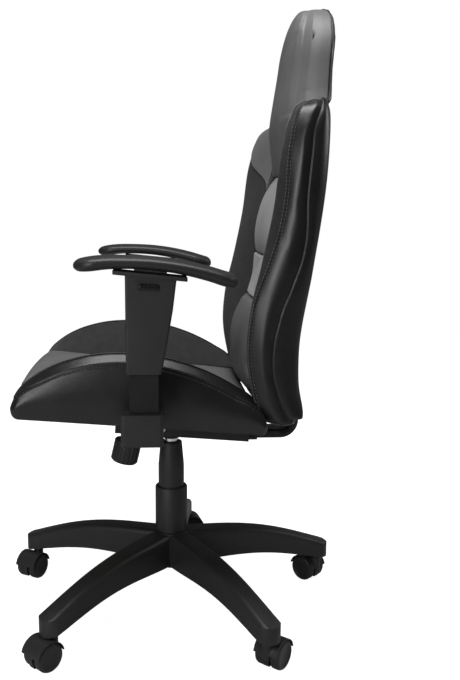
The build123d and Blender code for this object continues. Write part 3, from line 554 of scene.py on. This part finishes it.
def inset_ends(rings, along, low_radius, high_radius):
    """Rounds both ends: each ring within the radius of an end shrinks towards its middle like a quarter circle,
    then three more rings at each end close over it."""
    middle = (rings.max(1, keepdims=True) + rings.min(1, keepdims=True)) / 2
    half = np.maximum((rings.max(1, keepdims=True) - rings.min(1, keepdims=True)) / 2, 1e-4)
    low = low_radius * (1 - end_rounding(along - along[0], low_radius))
    high = high_radius * (1 - end_rounding(along[-1] - along, high_radius))
    inset = (low + high)[:, None, None]
    shaped = middle + (rings - middle) * np.clip(1 - inset / half, 0.1, 1)
    first = [middle[0] + (shaped[0] - middle[0]) * share for share in (0.25, 0.5, 0.75)]
    last = [middle[-1] + (shaped[-1] - middle[-1]) * share for share in (0.75, 0.5, 0.25)]
    return np.concatenate([first, shaped, last])


def paint(piece, column_slot):
    """Sets each quad's material number from its column and ring, by a function of two whole arrays."""
    rings, around = piece["rings"], piece["around"]
    i, j = np.meshgrid(np.arange(rings - 1), np.arange(around), indexing="ij")
    numbers = np.zeros(len(piece.data.polygons), np.int32)
    numbers[:i.size] = column_slot(i, j).ravel()
    piece.data.polygons.foreach_set("material_index", numbers)


def wing(side):
    """Side bolster of the back: a loop of seven corners at each height, from the inner face over the ridge
    and the stitched seam, down the side to the piping and round to the rear."""
    z = ends_close(0.446, 1.021, 86)
    front, base, outer, ridge = columns(z, WING)
    rear = smooth(z, BACK_LINE[:, 0], BACK_LINE[:, 1])
    piping = smooth(z, PIPING[:, 0], PIPING[:, 1])
    seam = front + smooth(z, SEAM_BACK[:, 0], SEAM_BACK[:, 1])
    inner = np.full_like(z, PANEL_HALF + 0.002)     # clear of the front pads
    flat = np.stack([
        np.stack([inner, base], 1), np.stack([ridge, front], 1), np.stack([outer - 0.011, seam], 1),
        np.stack([outer + 0.003, seam * 0.42 + piping * 0.58], 1), np.stack([outer - 0.004, piping], 1),
        np.stack([outer - 0.018, rear - 0.013], 1), np.stack([inner, rear - 0.009], 1)], 1)
    loops = rounded_loop(flat, (0.006, 0.010, 0.006, 0.03, 0.004, 0.012, 0.006), PER)
    rings = np.concatenate([loops, np.broadcast_to(z[:, None, None], (*loops.shape[:2], 1))], 2)
    rings = inset_ends(rings, z, 0.007, 0.018)
    if side == "right":
        rings = mirror_x(rings)
    piece = ring_body("wing_" + side, rings)
    wear(piece, "black_leather", "black_fabric")
    paint(piece, lambda i, j: np.where((j >= WING_INNER) & (j < WING_SEAM), 1, 0))
    held = (WING_INNER, WING_RIDGE, WING_SEAM, WING_PIPING, WING_REAR_OUTER, WING_REAR_INNER)
    to_inflate(piece, pinned_samples(piece, held, ends=5), 6.0, 0.006)
    return fit(piece, "back", "back_bolster_" + side, fill=0.7)


def front_pad(name, node, fronts, crown, material, fill, edge):
    """Upholstered front pad: at each height a loop across the back, crowned in the middle, flat at its board.
    Fronts gives the front's place and its height, in millimetres."""
    fronts = np.array(fronts) / 1000
    z = ends_close(fronts[0, 1], fronts[-1, 1], 34)
    front = smooth(z, fronts[:, 1], fronts[:, 0])
    rear = smooth(z, BACK_LINE[:, 0], BACK_LINE[:, 1]) + BOARD_FACE
    x = np.full_like(z, PAD_HALF)
    drop = np.minimum(crown, (rear - front) * 0.35)
    flat = np.stack([
        np.stack([-x, front + drop + edge * 0.4], 1), np.stack([-x * 0.55, front + drop * 0.25], 1),
        np.stack([x * 0, front], 1), np.stack([x * 0.55, front + drop * 0.25], 1),
        np.stack([x, front + drop + edge * 0.4], 1), np.stack([x, rear], 1), np.stack([-x, rear], 1)], 1)
    loops = rounded_loop(flat, (0.010, 0.03, 0.03, 0.03, 0.010, 0.003, 0.003), 6)
    rings = np.concatenate([loops, np.broadcast_to(z[:, None, None], (*loops.shape[:2], 1))], 2)
    rings = inset_ends(rings, z, edge, edge)
    piece = wear(ring_body(name, rings), material)
    to_inflate(piece, pinned_samples(piece, (6, 30, 96, 114), spread=1, ends=5), 4.0, 0.007)
    return fit(piece, "back", node, fill=fill)


# samples of the headrest's loop: the creases beside its front corners, and the ends of its black rear
HEAD_CREASE, HEAD_CREASE_RIGHT = corner(4) + 1, corner(0) - 1
HEAD_REAR, HEAD_REAR_RIGHT = corner(6), corner(9)


def headrest():
    """Headrest and yoke: at each height a loop crowned at the front, with soft front corners, flat sides and
    a black rear. It is wider at the shoulders and closes over the top as an ellipse."""
    z = np.concatenate([np.linspace(0.905, 1.15, 46), 1.2165 - 0.0665 * (1 - np.linspace(0, 1, 30)[1:])**2])
    front = smooth(z, (0.905, 0.95, 1.0, 1.05, 1.10, 1.141, 1.18, 1.205, 1.2195),
                   (0.221, 0.212, 0.205, 0.2105, 0.218, 0.223, 0.232, 0.244, 0.257))
    rear = np.interp(z, (0.905, 1.002, 1.016, 1.03, 1.10, 1.15, 1.19, 1.205, 1.2165),
                     (0.238, 0.250, 0.284, 0.294, 0.299, 0.305, 0.307, 0.305, 0.298))
    wide = smooth(z, (0.905, 0.985, 1.015, 1.05, 1.12, 1.23), (0.149, 0.149, 0.149, 0.139, 0.127, 0.125))
    rise = np.clip((z - 1.105) / 0.1117, 0, 1)
    wide = wide * np.maximum(1 - rise**2, 0.004)**0.48
    room = rear - front
    bend, turn = np.minimum(0.018, room * 0.3), np.minimum(0.050, room * 0.6)
    zero = np.zeros_like(z)
    flat = np.stack([
        np.stack([-wide * 0.86, front + bend], 1), np.stack([-wide * 0.5, front + bend * 0.25], 1),
        np.stack([zero, front], 1), np.stack([wide * 0.5, front + bend * 0.25], 1),
        np.stack([wide * 0.86, front + bend], 1), np.stack([wide, front + turn], 1),
        np.stack([wide, rear - room * 0.12], 1), np.stack([wide * 0.92, rear], 1),
        np.stack([-wide * 0.92, rear], 1), np.stack([-wide, rear - room * 0.12], 1),
        np.stack([-wide, front + turn], 1)], 1)
    loops = rounded_loop(flat, (0.02, 0.03, 0.03, 0.03, 0.02, 0.02, 0.006, 0.006, 0.006, 0.006, 0.02), PER)
    rings = np.concatenate([loops, np.broadcast_to(z[:, None, None], (*loops.shape[:2], 1))], 2)
    rings = inset_ends(rings, z, 0.006, 0.003)
    piece = wear(ring_body("headrest", rings), "gray_leather", "black_leather")
    paint(piece, lambda i, j: np.where((j >= HEAD_REAR) & (j < HEAD_REAR_RIGHT), 1, 0))
    held = (HEAD_CREASE, HEAD_CREASE_RIGHT, HEAD_REAR, HEAD_REAR_RIGHT)
    to_inflate(piece, pinned_samples(piece, held, ends=5), 4.0, 0.005)
    return fit(piece, "back", "headrest_pad", fill=0.7)


def sampled(grid, row, column):
    """Points between a grid's own points, at fractional rows and columns."""
    i, j = np.floor(row).astype(int), np.floor(column).astype(int)
    u, v = (row - i)[..., None], (column - j)[..., None]
    return ((1 - u) * (1 - v) * grid[i, j] + (1 - u) * v * grid[i, j + 1]
            + u * (1 - v) * grid[i + 1, j] + u * v * grid[i + 1, j + 1])


def yoke_flap(side, base):
    """Gray leather over the top of a wing's inner face: the wing's own surface between a curved lower edge
    and the shoulder, lifted by a leather's thickness."""
    rings, around = base["rings"], base["around"]
    grid = coordinates(base)[:rings * around].reshape(rings, around, 3)
    across, up = np.meshgrid(np.linspace(0, 1, 22), np.linspace(0, 1, 34))
    column = WING_INNER + 0.5 + across * (WING_RIDGE - WING_INNER + 0.3)
    edge = 0.992 - 0.115 * (1 - across)**0.8
    heights = grid[:, 2 * PER, 2]
    row = np.interp(edge + (1.017 - edge) * up, heights[3:-3], np.arange(3, rings - 3))
    points = sampled(grid, row, column)
    normal = np.cross(np.gradient(points, axis=1), np.gradient(points, axis=0))
    normal /= np.maximum(np.linalg.norm(normal, axis=2, keepdims=True), 1e-9)
    if normal[17, 11, 1] > 0:
        normal = -normal
    flat = (points + normal * 0.0012).reshape(-1, 3)
    i, j = np.meshgrid(np.arange(33), np.arange(21), indexing="ij")
    at = i * 22 + j
    faces = np.stack([at, at + 1, at + 23, at + 22], -1).reshape(-1, 4).tolist()
    piece = wear(new_object("yoke_flap_" + side, flat, faces), "gray_leather")
    if side == "left":
        piece.data.flip_normals()
    shell = piece.modifiers.new("thickness", "SOLIDIFY")
    shell.thickness = 0.0022
    shell.offset = 0
    rim = tube("yoke_seam_" + side, (points + normal * 0.0016)[0], 0.0011)
    fit(wear(rim, "piping_gray"), "back")
    return fit(piece, "back")


def rear_cover():
    """Rear cover of the back: at each height a curve from one side's piping round the rear to the other's,
    with the lower edge raised over the bracket and folds running in from the bottom corners. Four
    millimetres thick."""
    share = np.linspace(0, 1, 60)
    across = np.linspace(-1, 1, 97)
    top = 1.023
    s, t = np.meshgrid(share, across, indexing="ij")
    near_middle = np.clip(1 - (np.abs(t) / 0.35)**4, 0, 1)
    low = 0.458 + 0.030 * near_middle
    z = low + (top - low) * s
    rear = smooth(z, BACK_LINE[:, 0], BACK_LINE[:, 1])
    piping = smooth(z, PIPING[:, 0], PIPING[:, 1])
    outer = smooth(z, WING[:, 0], WING[:, 3])
    stops = np.array((0, 0.30, 0.55, 0.72, 0.84, 0.92, 1.0))
    wide = np.stack([outer * 0, outer * 0 + 0.080, outer * 0 + 0.150, outer - 0.050, outer - 0.016,
                     outer - 0.004, outer - 0.002], -1)
    deep = np.stack([rear + 0.020, rear + 0.018, rear + 0.013, rear + 0.006, rear - 0.004,
                     np.minimum(rear - 0.012, (rear + piping * 2) / 3 + 0.003), piping - 0.001], -1)
    x, y = smooth_rows(np.abs(t), stops, wide), smooth_rows(np.abs(t), stops, deep)
    fade = np.exp(-((z - 0.463) / 0.035)**2) * np.exp(-((np.abs(t) - 0.85) / 0.16)**2)
    fold = 0.0028 * np.sin(34 * np.abs(t) + 90 * z) * fade
    y = y + fold + 0.003 * fade
    shoulder = np.clip((z - 0.985) / 0.038, 0, 1)
    y = y - 0.003 * shoulder**2
    x = np.sign(t) * (x + 0.001 + 0.002 * fade + 0.5 * np.abs(fold))
    points = np.stack([x, y, z], -1).reshape(-1, 3)
    rows, cols = s.shape
    i, j = np.meshgrid(np.arange(rows - 1), np.arange(cols - 1), indexing="ij")
    at = i * cols + j
    faces = np.stack([at, at + 1, at + cols + 1, at + cols], -1).reshape(-1, 4).tolist()
    piece = wear(new_object("rear_cover", points, faces), "black_leather")
    middle = cols * 30 + 48
    normal = np.cross(points[middle + 1] - points[middle], points[middle + cols] - points[middle])
    if normal[1] < 0:
        piece.data.flip_normals()
    shell = piece.modifiers.new("thickness", "SOLIDIFY")
    shell.thickness = 0.004
    shell.offset = -1
    finer(piece)
    return fit(piece, "back", "back_rear_panel", slot="black_leather")


# ---- Seat ----

# place along the level seat, height of the side bolster's ridge over the seat plate
SEAT_RIDGE = np.array((
    (-290, 38), (-272, 60), (-250, 80), (-222, 98), (-184, 114), (-88, 130), (10, 119), (102, 84), (135, 65),
    (157, 43), (167, 27))) / 1000
SEAT_INNER, SEAT_EDGE, SEAT_STITCH, SEAT_BOTTOM, SEAT_BOARD_OUTER, SEAT_BOARD_INNER = (
    corner(number) for number in (0, 1, 2, 4, 5, 6))
SEAT_REAR = 0.166


def seat_bolster(side):
    """Side bolster of the seat: at each station along the seat a loop from the inner face over the ridge, a
    leather band to the stitched seam, then the outer panel down to the underside."""
    s = ends_close(-0.292, SEAT_REAR, 84)
    ridge = smooth(s, SEAT_RIDGE[:, 0], SEAT_RIDGE[:, 1])
    near = np.clip((SEAT_REAR - s) / 0.06, 0, 1) * np.clip((s + 0.288) / 0.05, 0, 1)
    inner = np.minimum(ridge - 0.010, 0.047)
    one = np.ones_like(s)
    flat = np.stack([
        np.stack([one * 0.152, inner], 1), np.stack([one * 0.232, ridge], 1),
        np.stack([one * 0.2565, ridge - 0.006 - 0.012 * near], 1), np.stack([one * 0.2655, ridge * 0.45], 1),
        np.stack([one * 0.257, one * -0.001], 1), np.stack([one * 0.2365, one * 0.0], 1),
        np.stack([one * 0.152, one * 0.0125], 1)], 1)
    loops = rounded_loop(flat, (0.005, 0.010, 0.010, 0.02, 0.008, 0.003, 0.003), PER)
    level = np.stack([loops[..., 0], np.broadcast_to(s[:, None], loops.shape[:2]), loops[..., 1]], -1)
    rings = seat_place(inset_ends(level, s, 0.017, 0.010))
    if side == "right":
        rings = mirror_x(rings)
    piece = ring_body("seat_side_" + side, rings)
    wear(piece, "black_leather", "black_fabric")
    paint(piece, lambda i, j: np.where((j >= SEAT_INNER) & (j < SEAT_EDGE), 1, 0))
    held = (SEAT_INNER, SEAT_EDGE, SEAT_STITCH, SEAT_BOTTOM, SEAT_BOARD_OUTER, SEAT_BOARD_INNER)
    to_inflate(piece, pinned_samples(piece, held, ends=5), 6.0, 0.006)
    return fit(piece, "seat", "seat_bolster_" + side, fill=0.7)


def seat_center():
    """Centre panel of the seat: at each place across it a loop down the nose and along the board, crowned."""
    x = ends_close(-0.1495, 0.1495, 60)
    crown = 0.004 * (1 - (x / 0.15)**2)
    side = np.array(((-262.5, 12.5), (-262.5, 2), (-282, 3), (-290, 20), (-290, 42), (-272, 58), (-170, 56),
                     (-20, 51), (142, 46), (152, 28), (151, 12.5))) / 1000
    flat = np.broadcast_to(side, (len(x), *side.shape)).copy()
    flat[:, 4:9, 1] += crown[:, None]
    flat[:, 3:5, 0] -= crown[:, None] * 0.7
    loops = rounded_loop(flat, (0.002, 0.002, 0.006, 0.01, 0.012, 0.02, 0.04, 0.04, 0.01, 0.008, 0.004), 6)
    level = np.concatenate([np.broadcast_to(x[:, None, None], (*loops.shape[:2], 1)), loops], 2)
    rings = seat_place(inset_ends(level, x, 0.008, 0.008))
    piece = wear(ring_body("seat_center", rings), "gray_leather")
    to_inflate(piece, pinned_samples(piece, (6, 24, 42, 96, 168, 186), spread=1, ends=5), 4.0, 0.006)
    return fit(piece, "seat", "seat_center_pad", fill=0.7)


# ---- Arm pads ----

# front and rear end of an arm pad, and how far its middle line lies from the chair's
ARM_FRONT, ARM_REAR, ARM_MIDDLE = -0.167, 0.105, 0.305


def arm_pad(side):
    """Moulded arm pad: superellipse sections along the arm, rounded in plan at both ends and turned a
    little."""
    top = np.array(((-167, 748), (-150, 752), (-74, 755.5), (0, 749), (60, 736), (90, 727),
                    (105, 723))) / 1000
    under = np.array(((-167, 730), (-152, 729), (-106, 732.8), (24, 720), (57, 711), (85, 702),
                      (105, 699))) / 1000
    y = ends_close(ARM_FRONT, ARM_REAR, 72, 0.85)
    high, low = smooth(y, top[:, 0], top[:, 1]), smooth(y, under[:, 0], under[:, 1])
    gap = np.minimum(y - ARM_FRONT, ARM_REAR - y)
    wide = 0.044 - 0.036 * (1 - end_rounding(gap, 0.036))
    tall = np.maximum((high - low) / 2 * end_rounding(gap + 0.0004, 0.012), 0.0008)
    turn = np.linspace(0, 2 * np.pi, 48, endpoint=False)
    power = 2 / 2.7
    x = wide[:, None] * np.sign(np.cos(turn)) * np.abs(np.cos(turn))**power
    z = ((high + low) / 2)[:, None] + tall[:, None] * np.sign(np.sin(turn)) * np.abs(np.sin(turn))**power
    rings = np.stack([x, np.broadcast_to(y[:, None], x.shape), z], -1)
    middle, toe = (ARM_FRONT + ARM_REAR) / 2, math.radians(3.2)
    off = rings[..., 1] - middle
    placed = np.stack([ARM_MIDDLE + rings[..., 0] * math.cos(toe) - off * math.sin(toe),
                       middle + rings[..., 0] * math.sin(toe) + off * math.cos(toe), rings[..., 2]], -1)
    if side == "right":
        placed = mirror_x(placed)
    piece = wear(ring_body("arm_rest_pad_" + side, placed), "arm_pad_skin")
    finer(piece)
    return fit(piece, "arm_" + side, "arm_pad_" + side, slot="arm_pad_skin", fill=0.2)


# ---- Hard parts ----

def finish_copy(node, material, body, width):
    """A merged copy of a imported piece, with its long edges rounded off."""
    piece = bpy.data.objects.new(node + "_finished", frame["nodes"][node].data.copy())
    bpy.context.scene.collection.objects.link(piece)
    work = bmesh.new()
    work.from_mesh(piece.data)
    bmesh.ops.remove_doubles(work, verts=work.verts, dist=2e-5)
    bmesh.ops.dissolve_limit(work, angle_limit=math.radians(0.6), verts=work.verts, edges=work.edges)
    work.to_mesh(piece.data)
    work.free()
    piece.data.shade_smooth()
    piece.data.set_sharp_from_angle(angle=math.radians(40))
    rounded = piece.modifiers.new("edges", "BEVEL")
    rounded.width = width
    rounded.segments = 2
    rounded.limit_method = "ANGLE"
    rounded.angle_limit = math.radians(40)
    rounded.harden_normals = True
    wear(piece, material)
    return fit(piece, body, node, slot=material)


# ---- Build ----

wings = {side: wing(side) for side in ("left", "right")}
lumbar_fronts = ((160, 458), (155, 474), (148, 485), (138, 493), (129, 540), (136, 612), (156, 651))
band_fronts = ((168, 653), (180, 695), (184, 742))
upper_fronts = ((184, 744), (180, 768), (186, 824), (203, 872), (226, 903))
lumbar = front_pad("lumbar", "lumbar_pad", lumbar_fronts, 0.012, "gray_leather", 0.7, edge=0.007)
band = front_pad("band", "lumbar_band", band_fronts, 0.004, "light_mesh", 0.5, edge=0.006)
upper = front_pad("upper_pad", "upper_back_pad", upper_fronts, 0.010, "light_leather", 0.7, edge=0.006)
head = headrest()
rear_cover()
sides = {side: seat_bolster(side) for side in ("left", "right")}
center = seat_center()
for side in ("left", "right"):
    arm_pad(side)
run_cloth()


# ---- Seams, piping and stitching ----

def from_middle(piece, path, amount):
    """A path moved outwards, away from the middle of its own rings."""
    rings, around = piece["rings"], piece["around"]
    middle = coordinates(piece)[:rings * around].reshape(rings, around, 3).mean(1)
    away = path - middle
    return path + away / np.maximum(np.linalg.norm(away, axis=1, keepdims=True), 1e-6) * amount


def seam_line(piece, sample, low, high, lift):
    """One sample's line along a ring body, between two rings, lifted off its surface."""
    return from_middle(piece, column_path(piece, sample), lift)[low:high]


def shifted(path, toward, amount):
    """A path moved a set way towards another."""
    step = toward - path
    return path + step / np.maximum(np.linalg.norm(step, axis=1, keepdims=True), 1e-6) * amount


def double_stitch(name, piece, sample, low, high, body, thread, gap=0.0035):
    """A row of stitches on each side of a seam, between two rings."""
    for tag, step in (("a", -1), ("b", 1)):
        line = column_path(piece, sample)
        beside = column_path(piece, sample + 2 * step)
        path = from_middle(piece, shifted(line, beside, gap), 0.0004)[low:high]
        fit(wear(stitches(name + "_" + tag, path), thread), body)


def cord_on(name, path, radius, body, material):
    """A round cord of piping along a path."""
    return fit(wear(tube(name, path, radius), material), body)


def ring_line(piece, ring, lift):
    """The front half of one ring of a pad, moved outwards from the ring's middle."""
    rings, around = piece["rings"], piece["around"]
    loop = coordinates(piece)[:rings * around].reshape(rings, around, 3)[ring]
    away = loop - loop.mean(0)
    return (loop + away / np.linalg.norm(away, axis=1, keepdims=True) * lift)[5:32]


for side, piece in wings.items():
    press_seam(piece, WING_SEAM, 0.0016)
    press_seam(piece, WING_PIPING, 0.0014)
    press_seam(piece, WING_RIDGE, 0.0008)
    finer(piece)
    last = piece["rings"] - 5
    double_stitch("wing_stitches_" + side, piece, WING_SEAM, 6, last, "back", "thread_gray")
    cord_on("wing_piping_" + side, seam_line(piece, WING_PIPING, 5, last, 0.0012), 0.0022, "back",
            "piping_black")
for side, piece in sides.items():
    press_seam(piece, SEAT_STITCH, 0.0018)
    press_seam(piece, SEAT_EDGE, 0.0008)
    finer(piece)
    last = piece["rings"] - 5
    double_stitch("seat_stitches_" + side, piece, SEAT_STITCH, 6, last, "seat", "thread_black")
    cord_on("seat_piping_" + side, seam_line(piece, SEAT_EDGE, 5, last, 0.0008), 0.0016, "seat", "piping_black")
for sample in (HEAD_CREASE, HEAD_CREASE_RIGHT):
    press_seam(head, sample, 0.008, spread=5)
for tag, sample in (("left", HEAD_REAR + 2), ("right", HEAD_REAR_RIGHT - 2)):
    cord_on("headrest_piping_" + tag, seam_line(head, sample, 20, head["rings"] - 4, 0.0008), 0.0015, "back",
            "piping_black")
for side, piece in wings.items():
    yoke_flap(side, piece)
for piece in (lumbar, band, upper, head, center):
    finer(piece)


for name, piece, rings_at in (("lumbar", lumbar, (-8, -9)), ("band", band, (8, -9)),
                              ("upper_pad", upper, (8, -9))):
    for number, ring in enumerate(rings_at):
        row = wear(stitches(f"{name}_stitches_{number + 1}", ring_line(piece, ring, 0.0003)), "thread_gray")
        fit(row, "back")


# ---- Hard parts' finishes ----

RECORD = frame["record"]
BODY_OF = {node: body for body, nodes in RECORD["behaviour"]["bodies"].items() for node in nodes}
SLOT_OF = {entry["node"]: entry["material_slot"] for entry in RECORD["subparts"]}
# node, width its edges are rounded by
EDGES = (("base_star", 0.003), ("column_lower_cover", 0.0008), ("column_upper_cover", 0.0008),
         ("tension_knob", 0.0008), ("lift_lever", 0.0006), ("mechanism_housing", 0.0008),
         ("seat_plate", 0.0006), ("back_bracket", 0.001))
EACH_SIDE = (("arm_sleeve", 0.002), ("arm_socket", 0.0025), ("arm_button", 0.0012), ("arm_pad_plate", 0.001),
             ("arm_bracket", 0.001))

both = tuple((name + "_" + side, width) for name, width in EACH_SIDE for side in ("left", "right"))
for node, width in EDGES + both:
    finish_copy(node, SLOT_OF[node], BODY_OF[node], width)
for node in BODY_OF:
    if node.startswith("caster") and ("hood" in node or "wheel" in node):
        finish_copy(node, SLOT_OF[node], BODY_OF[node], 0.0007)
for node, packed in frame["nodes"].items():
    wear(packed, SLOT_OF[node])


# ---- Tension spring ----

def tension_spring():
    """Round wire on a helix between the knob and the tongue, with its end turns closed flat."""
    lean, radius, wire = math.radians(13.4), 0.015, 0.0023
    foot_y, foot_z = -0.1005, 0.308
    low, high, turns = 0.0186, 0.0766, 5.5
    along = np.linspace(0, 1, 220)
    turn = 2 * np.pi * turns * along
    flat = np.clip((along - 0.04) / 0.92, 0, 1)
    x, y, h = radius * np.cos(turn), radius * np.sin(turn), low + (high - low) * flat
    path = np.stack([x, foot_y + y * math.cos(lean) + h * math.sin(lean),
                     foot_z - y * math.sin(lean) + h * math.cos(lean)], 1)
    piece = wear(tube("tension_spring_wire", path, wire, sides=12), "spring_steel")
    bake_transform(piece)
    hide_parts("tension_spring")


tension_spring()


# ---- Studio ----

def area_light(name, place, target, size, power):
    """Soft rectangular light at a place, facing a target."""
    data = bpy.data.lights.new(name, "AREA")
    data.shape = "RECTANGLE"
    data.size, data.size_y = size
    data.energy = power
    lamp = bpy.data.objects.new(name, data)
    lamp.location = place
    lamp.rotation_euler = (Vector(target) - Vector(place)).to_track_quat("-Z", "Y").to_euler()
    bpy.context.scene.collection.objects.link(lamp)


def studio():
    """Pale floor, pale surroundings, a broad light over the seat and softer ones to the side and the rear."""
    floor = new_object("studio_floor", np.array([(-4, -4, 0), (4, -4, 0), (4, 4, 0), (-4, 4, 0)], float),
                       [[0, 1, 2, 3]])
    paper = bpy.data.materials.new("studio_paper")
    paper.use_nodes = True
    nodes, link = paper.node_tree.nodes, paper.node_tree.links.new
    fibre = nodes.new("ShaderNodeTexNoise")
    fibre.inputs["Scale"].default_value = 40.0
    tone, seen = nodes.new("ShaderNodeMapRange"), nodes.new("ShaderNodeLightPath")
    glow = nodes.new("ShaderNodeMath")
    glow.operation = "MULTIPLY"
    glow.inputs[1].default_value = 0.95
    tone.inputs["To Min"].default_value, tone.inputs["To Max"].default_value = 0.46, 0.50
    shader = nodes["Principled BSDF"]
    link(fibre.outputs["Fac"], tone.inputs["Value"])
    link(tone.outputs["Result"], shader.inputs["Base Color"])
    link(seen.outputs["Is Camera Ray"], glow.inputs[0])
    link(glow.outputs["Value"], shader.inputs["Emission Strength"])
    shader.inputs["Emission Color"].default_value = (1, 1, 1, 1)
    shader.inputs["Roughness"].default_value = 0.9
    floor.data.materials.append(paper)
    area_light("top_light", (0.3, 0.0, 2.9), (0, 0.1, 0.5), (1.8, 1.4), 75)
    area_light("front_light", (2.2, -1.35, 1.25), (0, 0.1, 0.75), (0.8, 1.5), 34)
    area_light("rear_light", (-0.6, 2.5, 1.7), (0, 0.1, 0.7), (1.2, 1.2), 13)
    world = bpy.data.worlds.new("studio")
    bpy.context.scene.world = world
    world.use_nodes = True
    tree = world.node_tree
    path, mix = tree.nodes.new("ShaderNodeLightPath"), tree.nodes.new("ShaderNodeMix")
    mix.inputs["A"].default_value, mix.inputs["B"].default_value = 0.09, 1.0
    tree.links.new(path.outputs["Is Camera Ray"], mix.inputs["Factor"])
    tree.nodes["Background"].inputs["Color"].default_value = (1, 1, 1, 1)
    tree.links.new(mix.outputs["Result"], tree.nodes["Background"].inputs["Strength"])


def camera():
    """Camera beside the chair at arm height, turned a little to the rear and down."""
    data = bpy.data.cameras.new("view")
    data.lens, data.sensor_width, data.shift_x = 41.5, 36.0, 0.0616
    data.dof.use_dof = False
    eye = bpy.data.objects.new("view", data)
    eye.location = (1.6072, -0.0368, 0.8109)
    eye.rotation_euler = Vector((-0.98764, 0.04468, -0.15022)).to_track_quat("-Z", "Y").to_euler()
    bpy.context.scene.collection.objects.link(eye)
    bpy.context.scene.camera = eye


studio()
camera()
bpy.context.scene.view_settings.view_transform = "Standard"
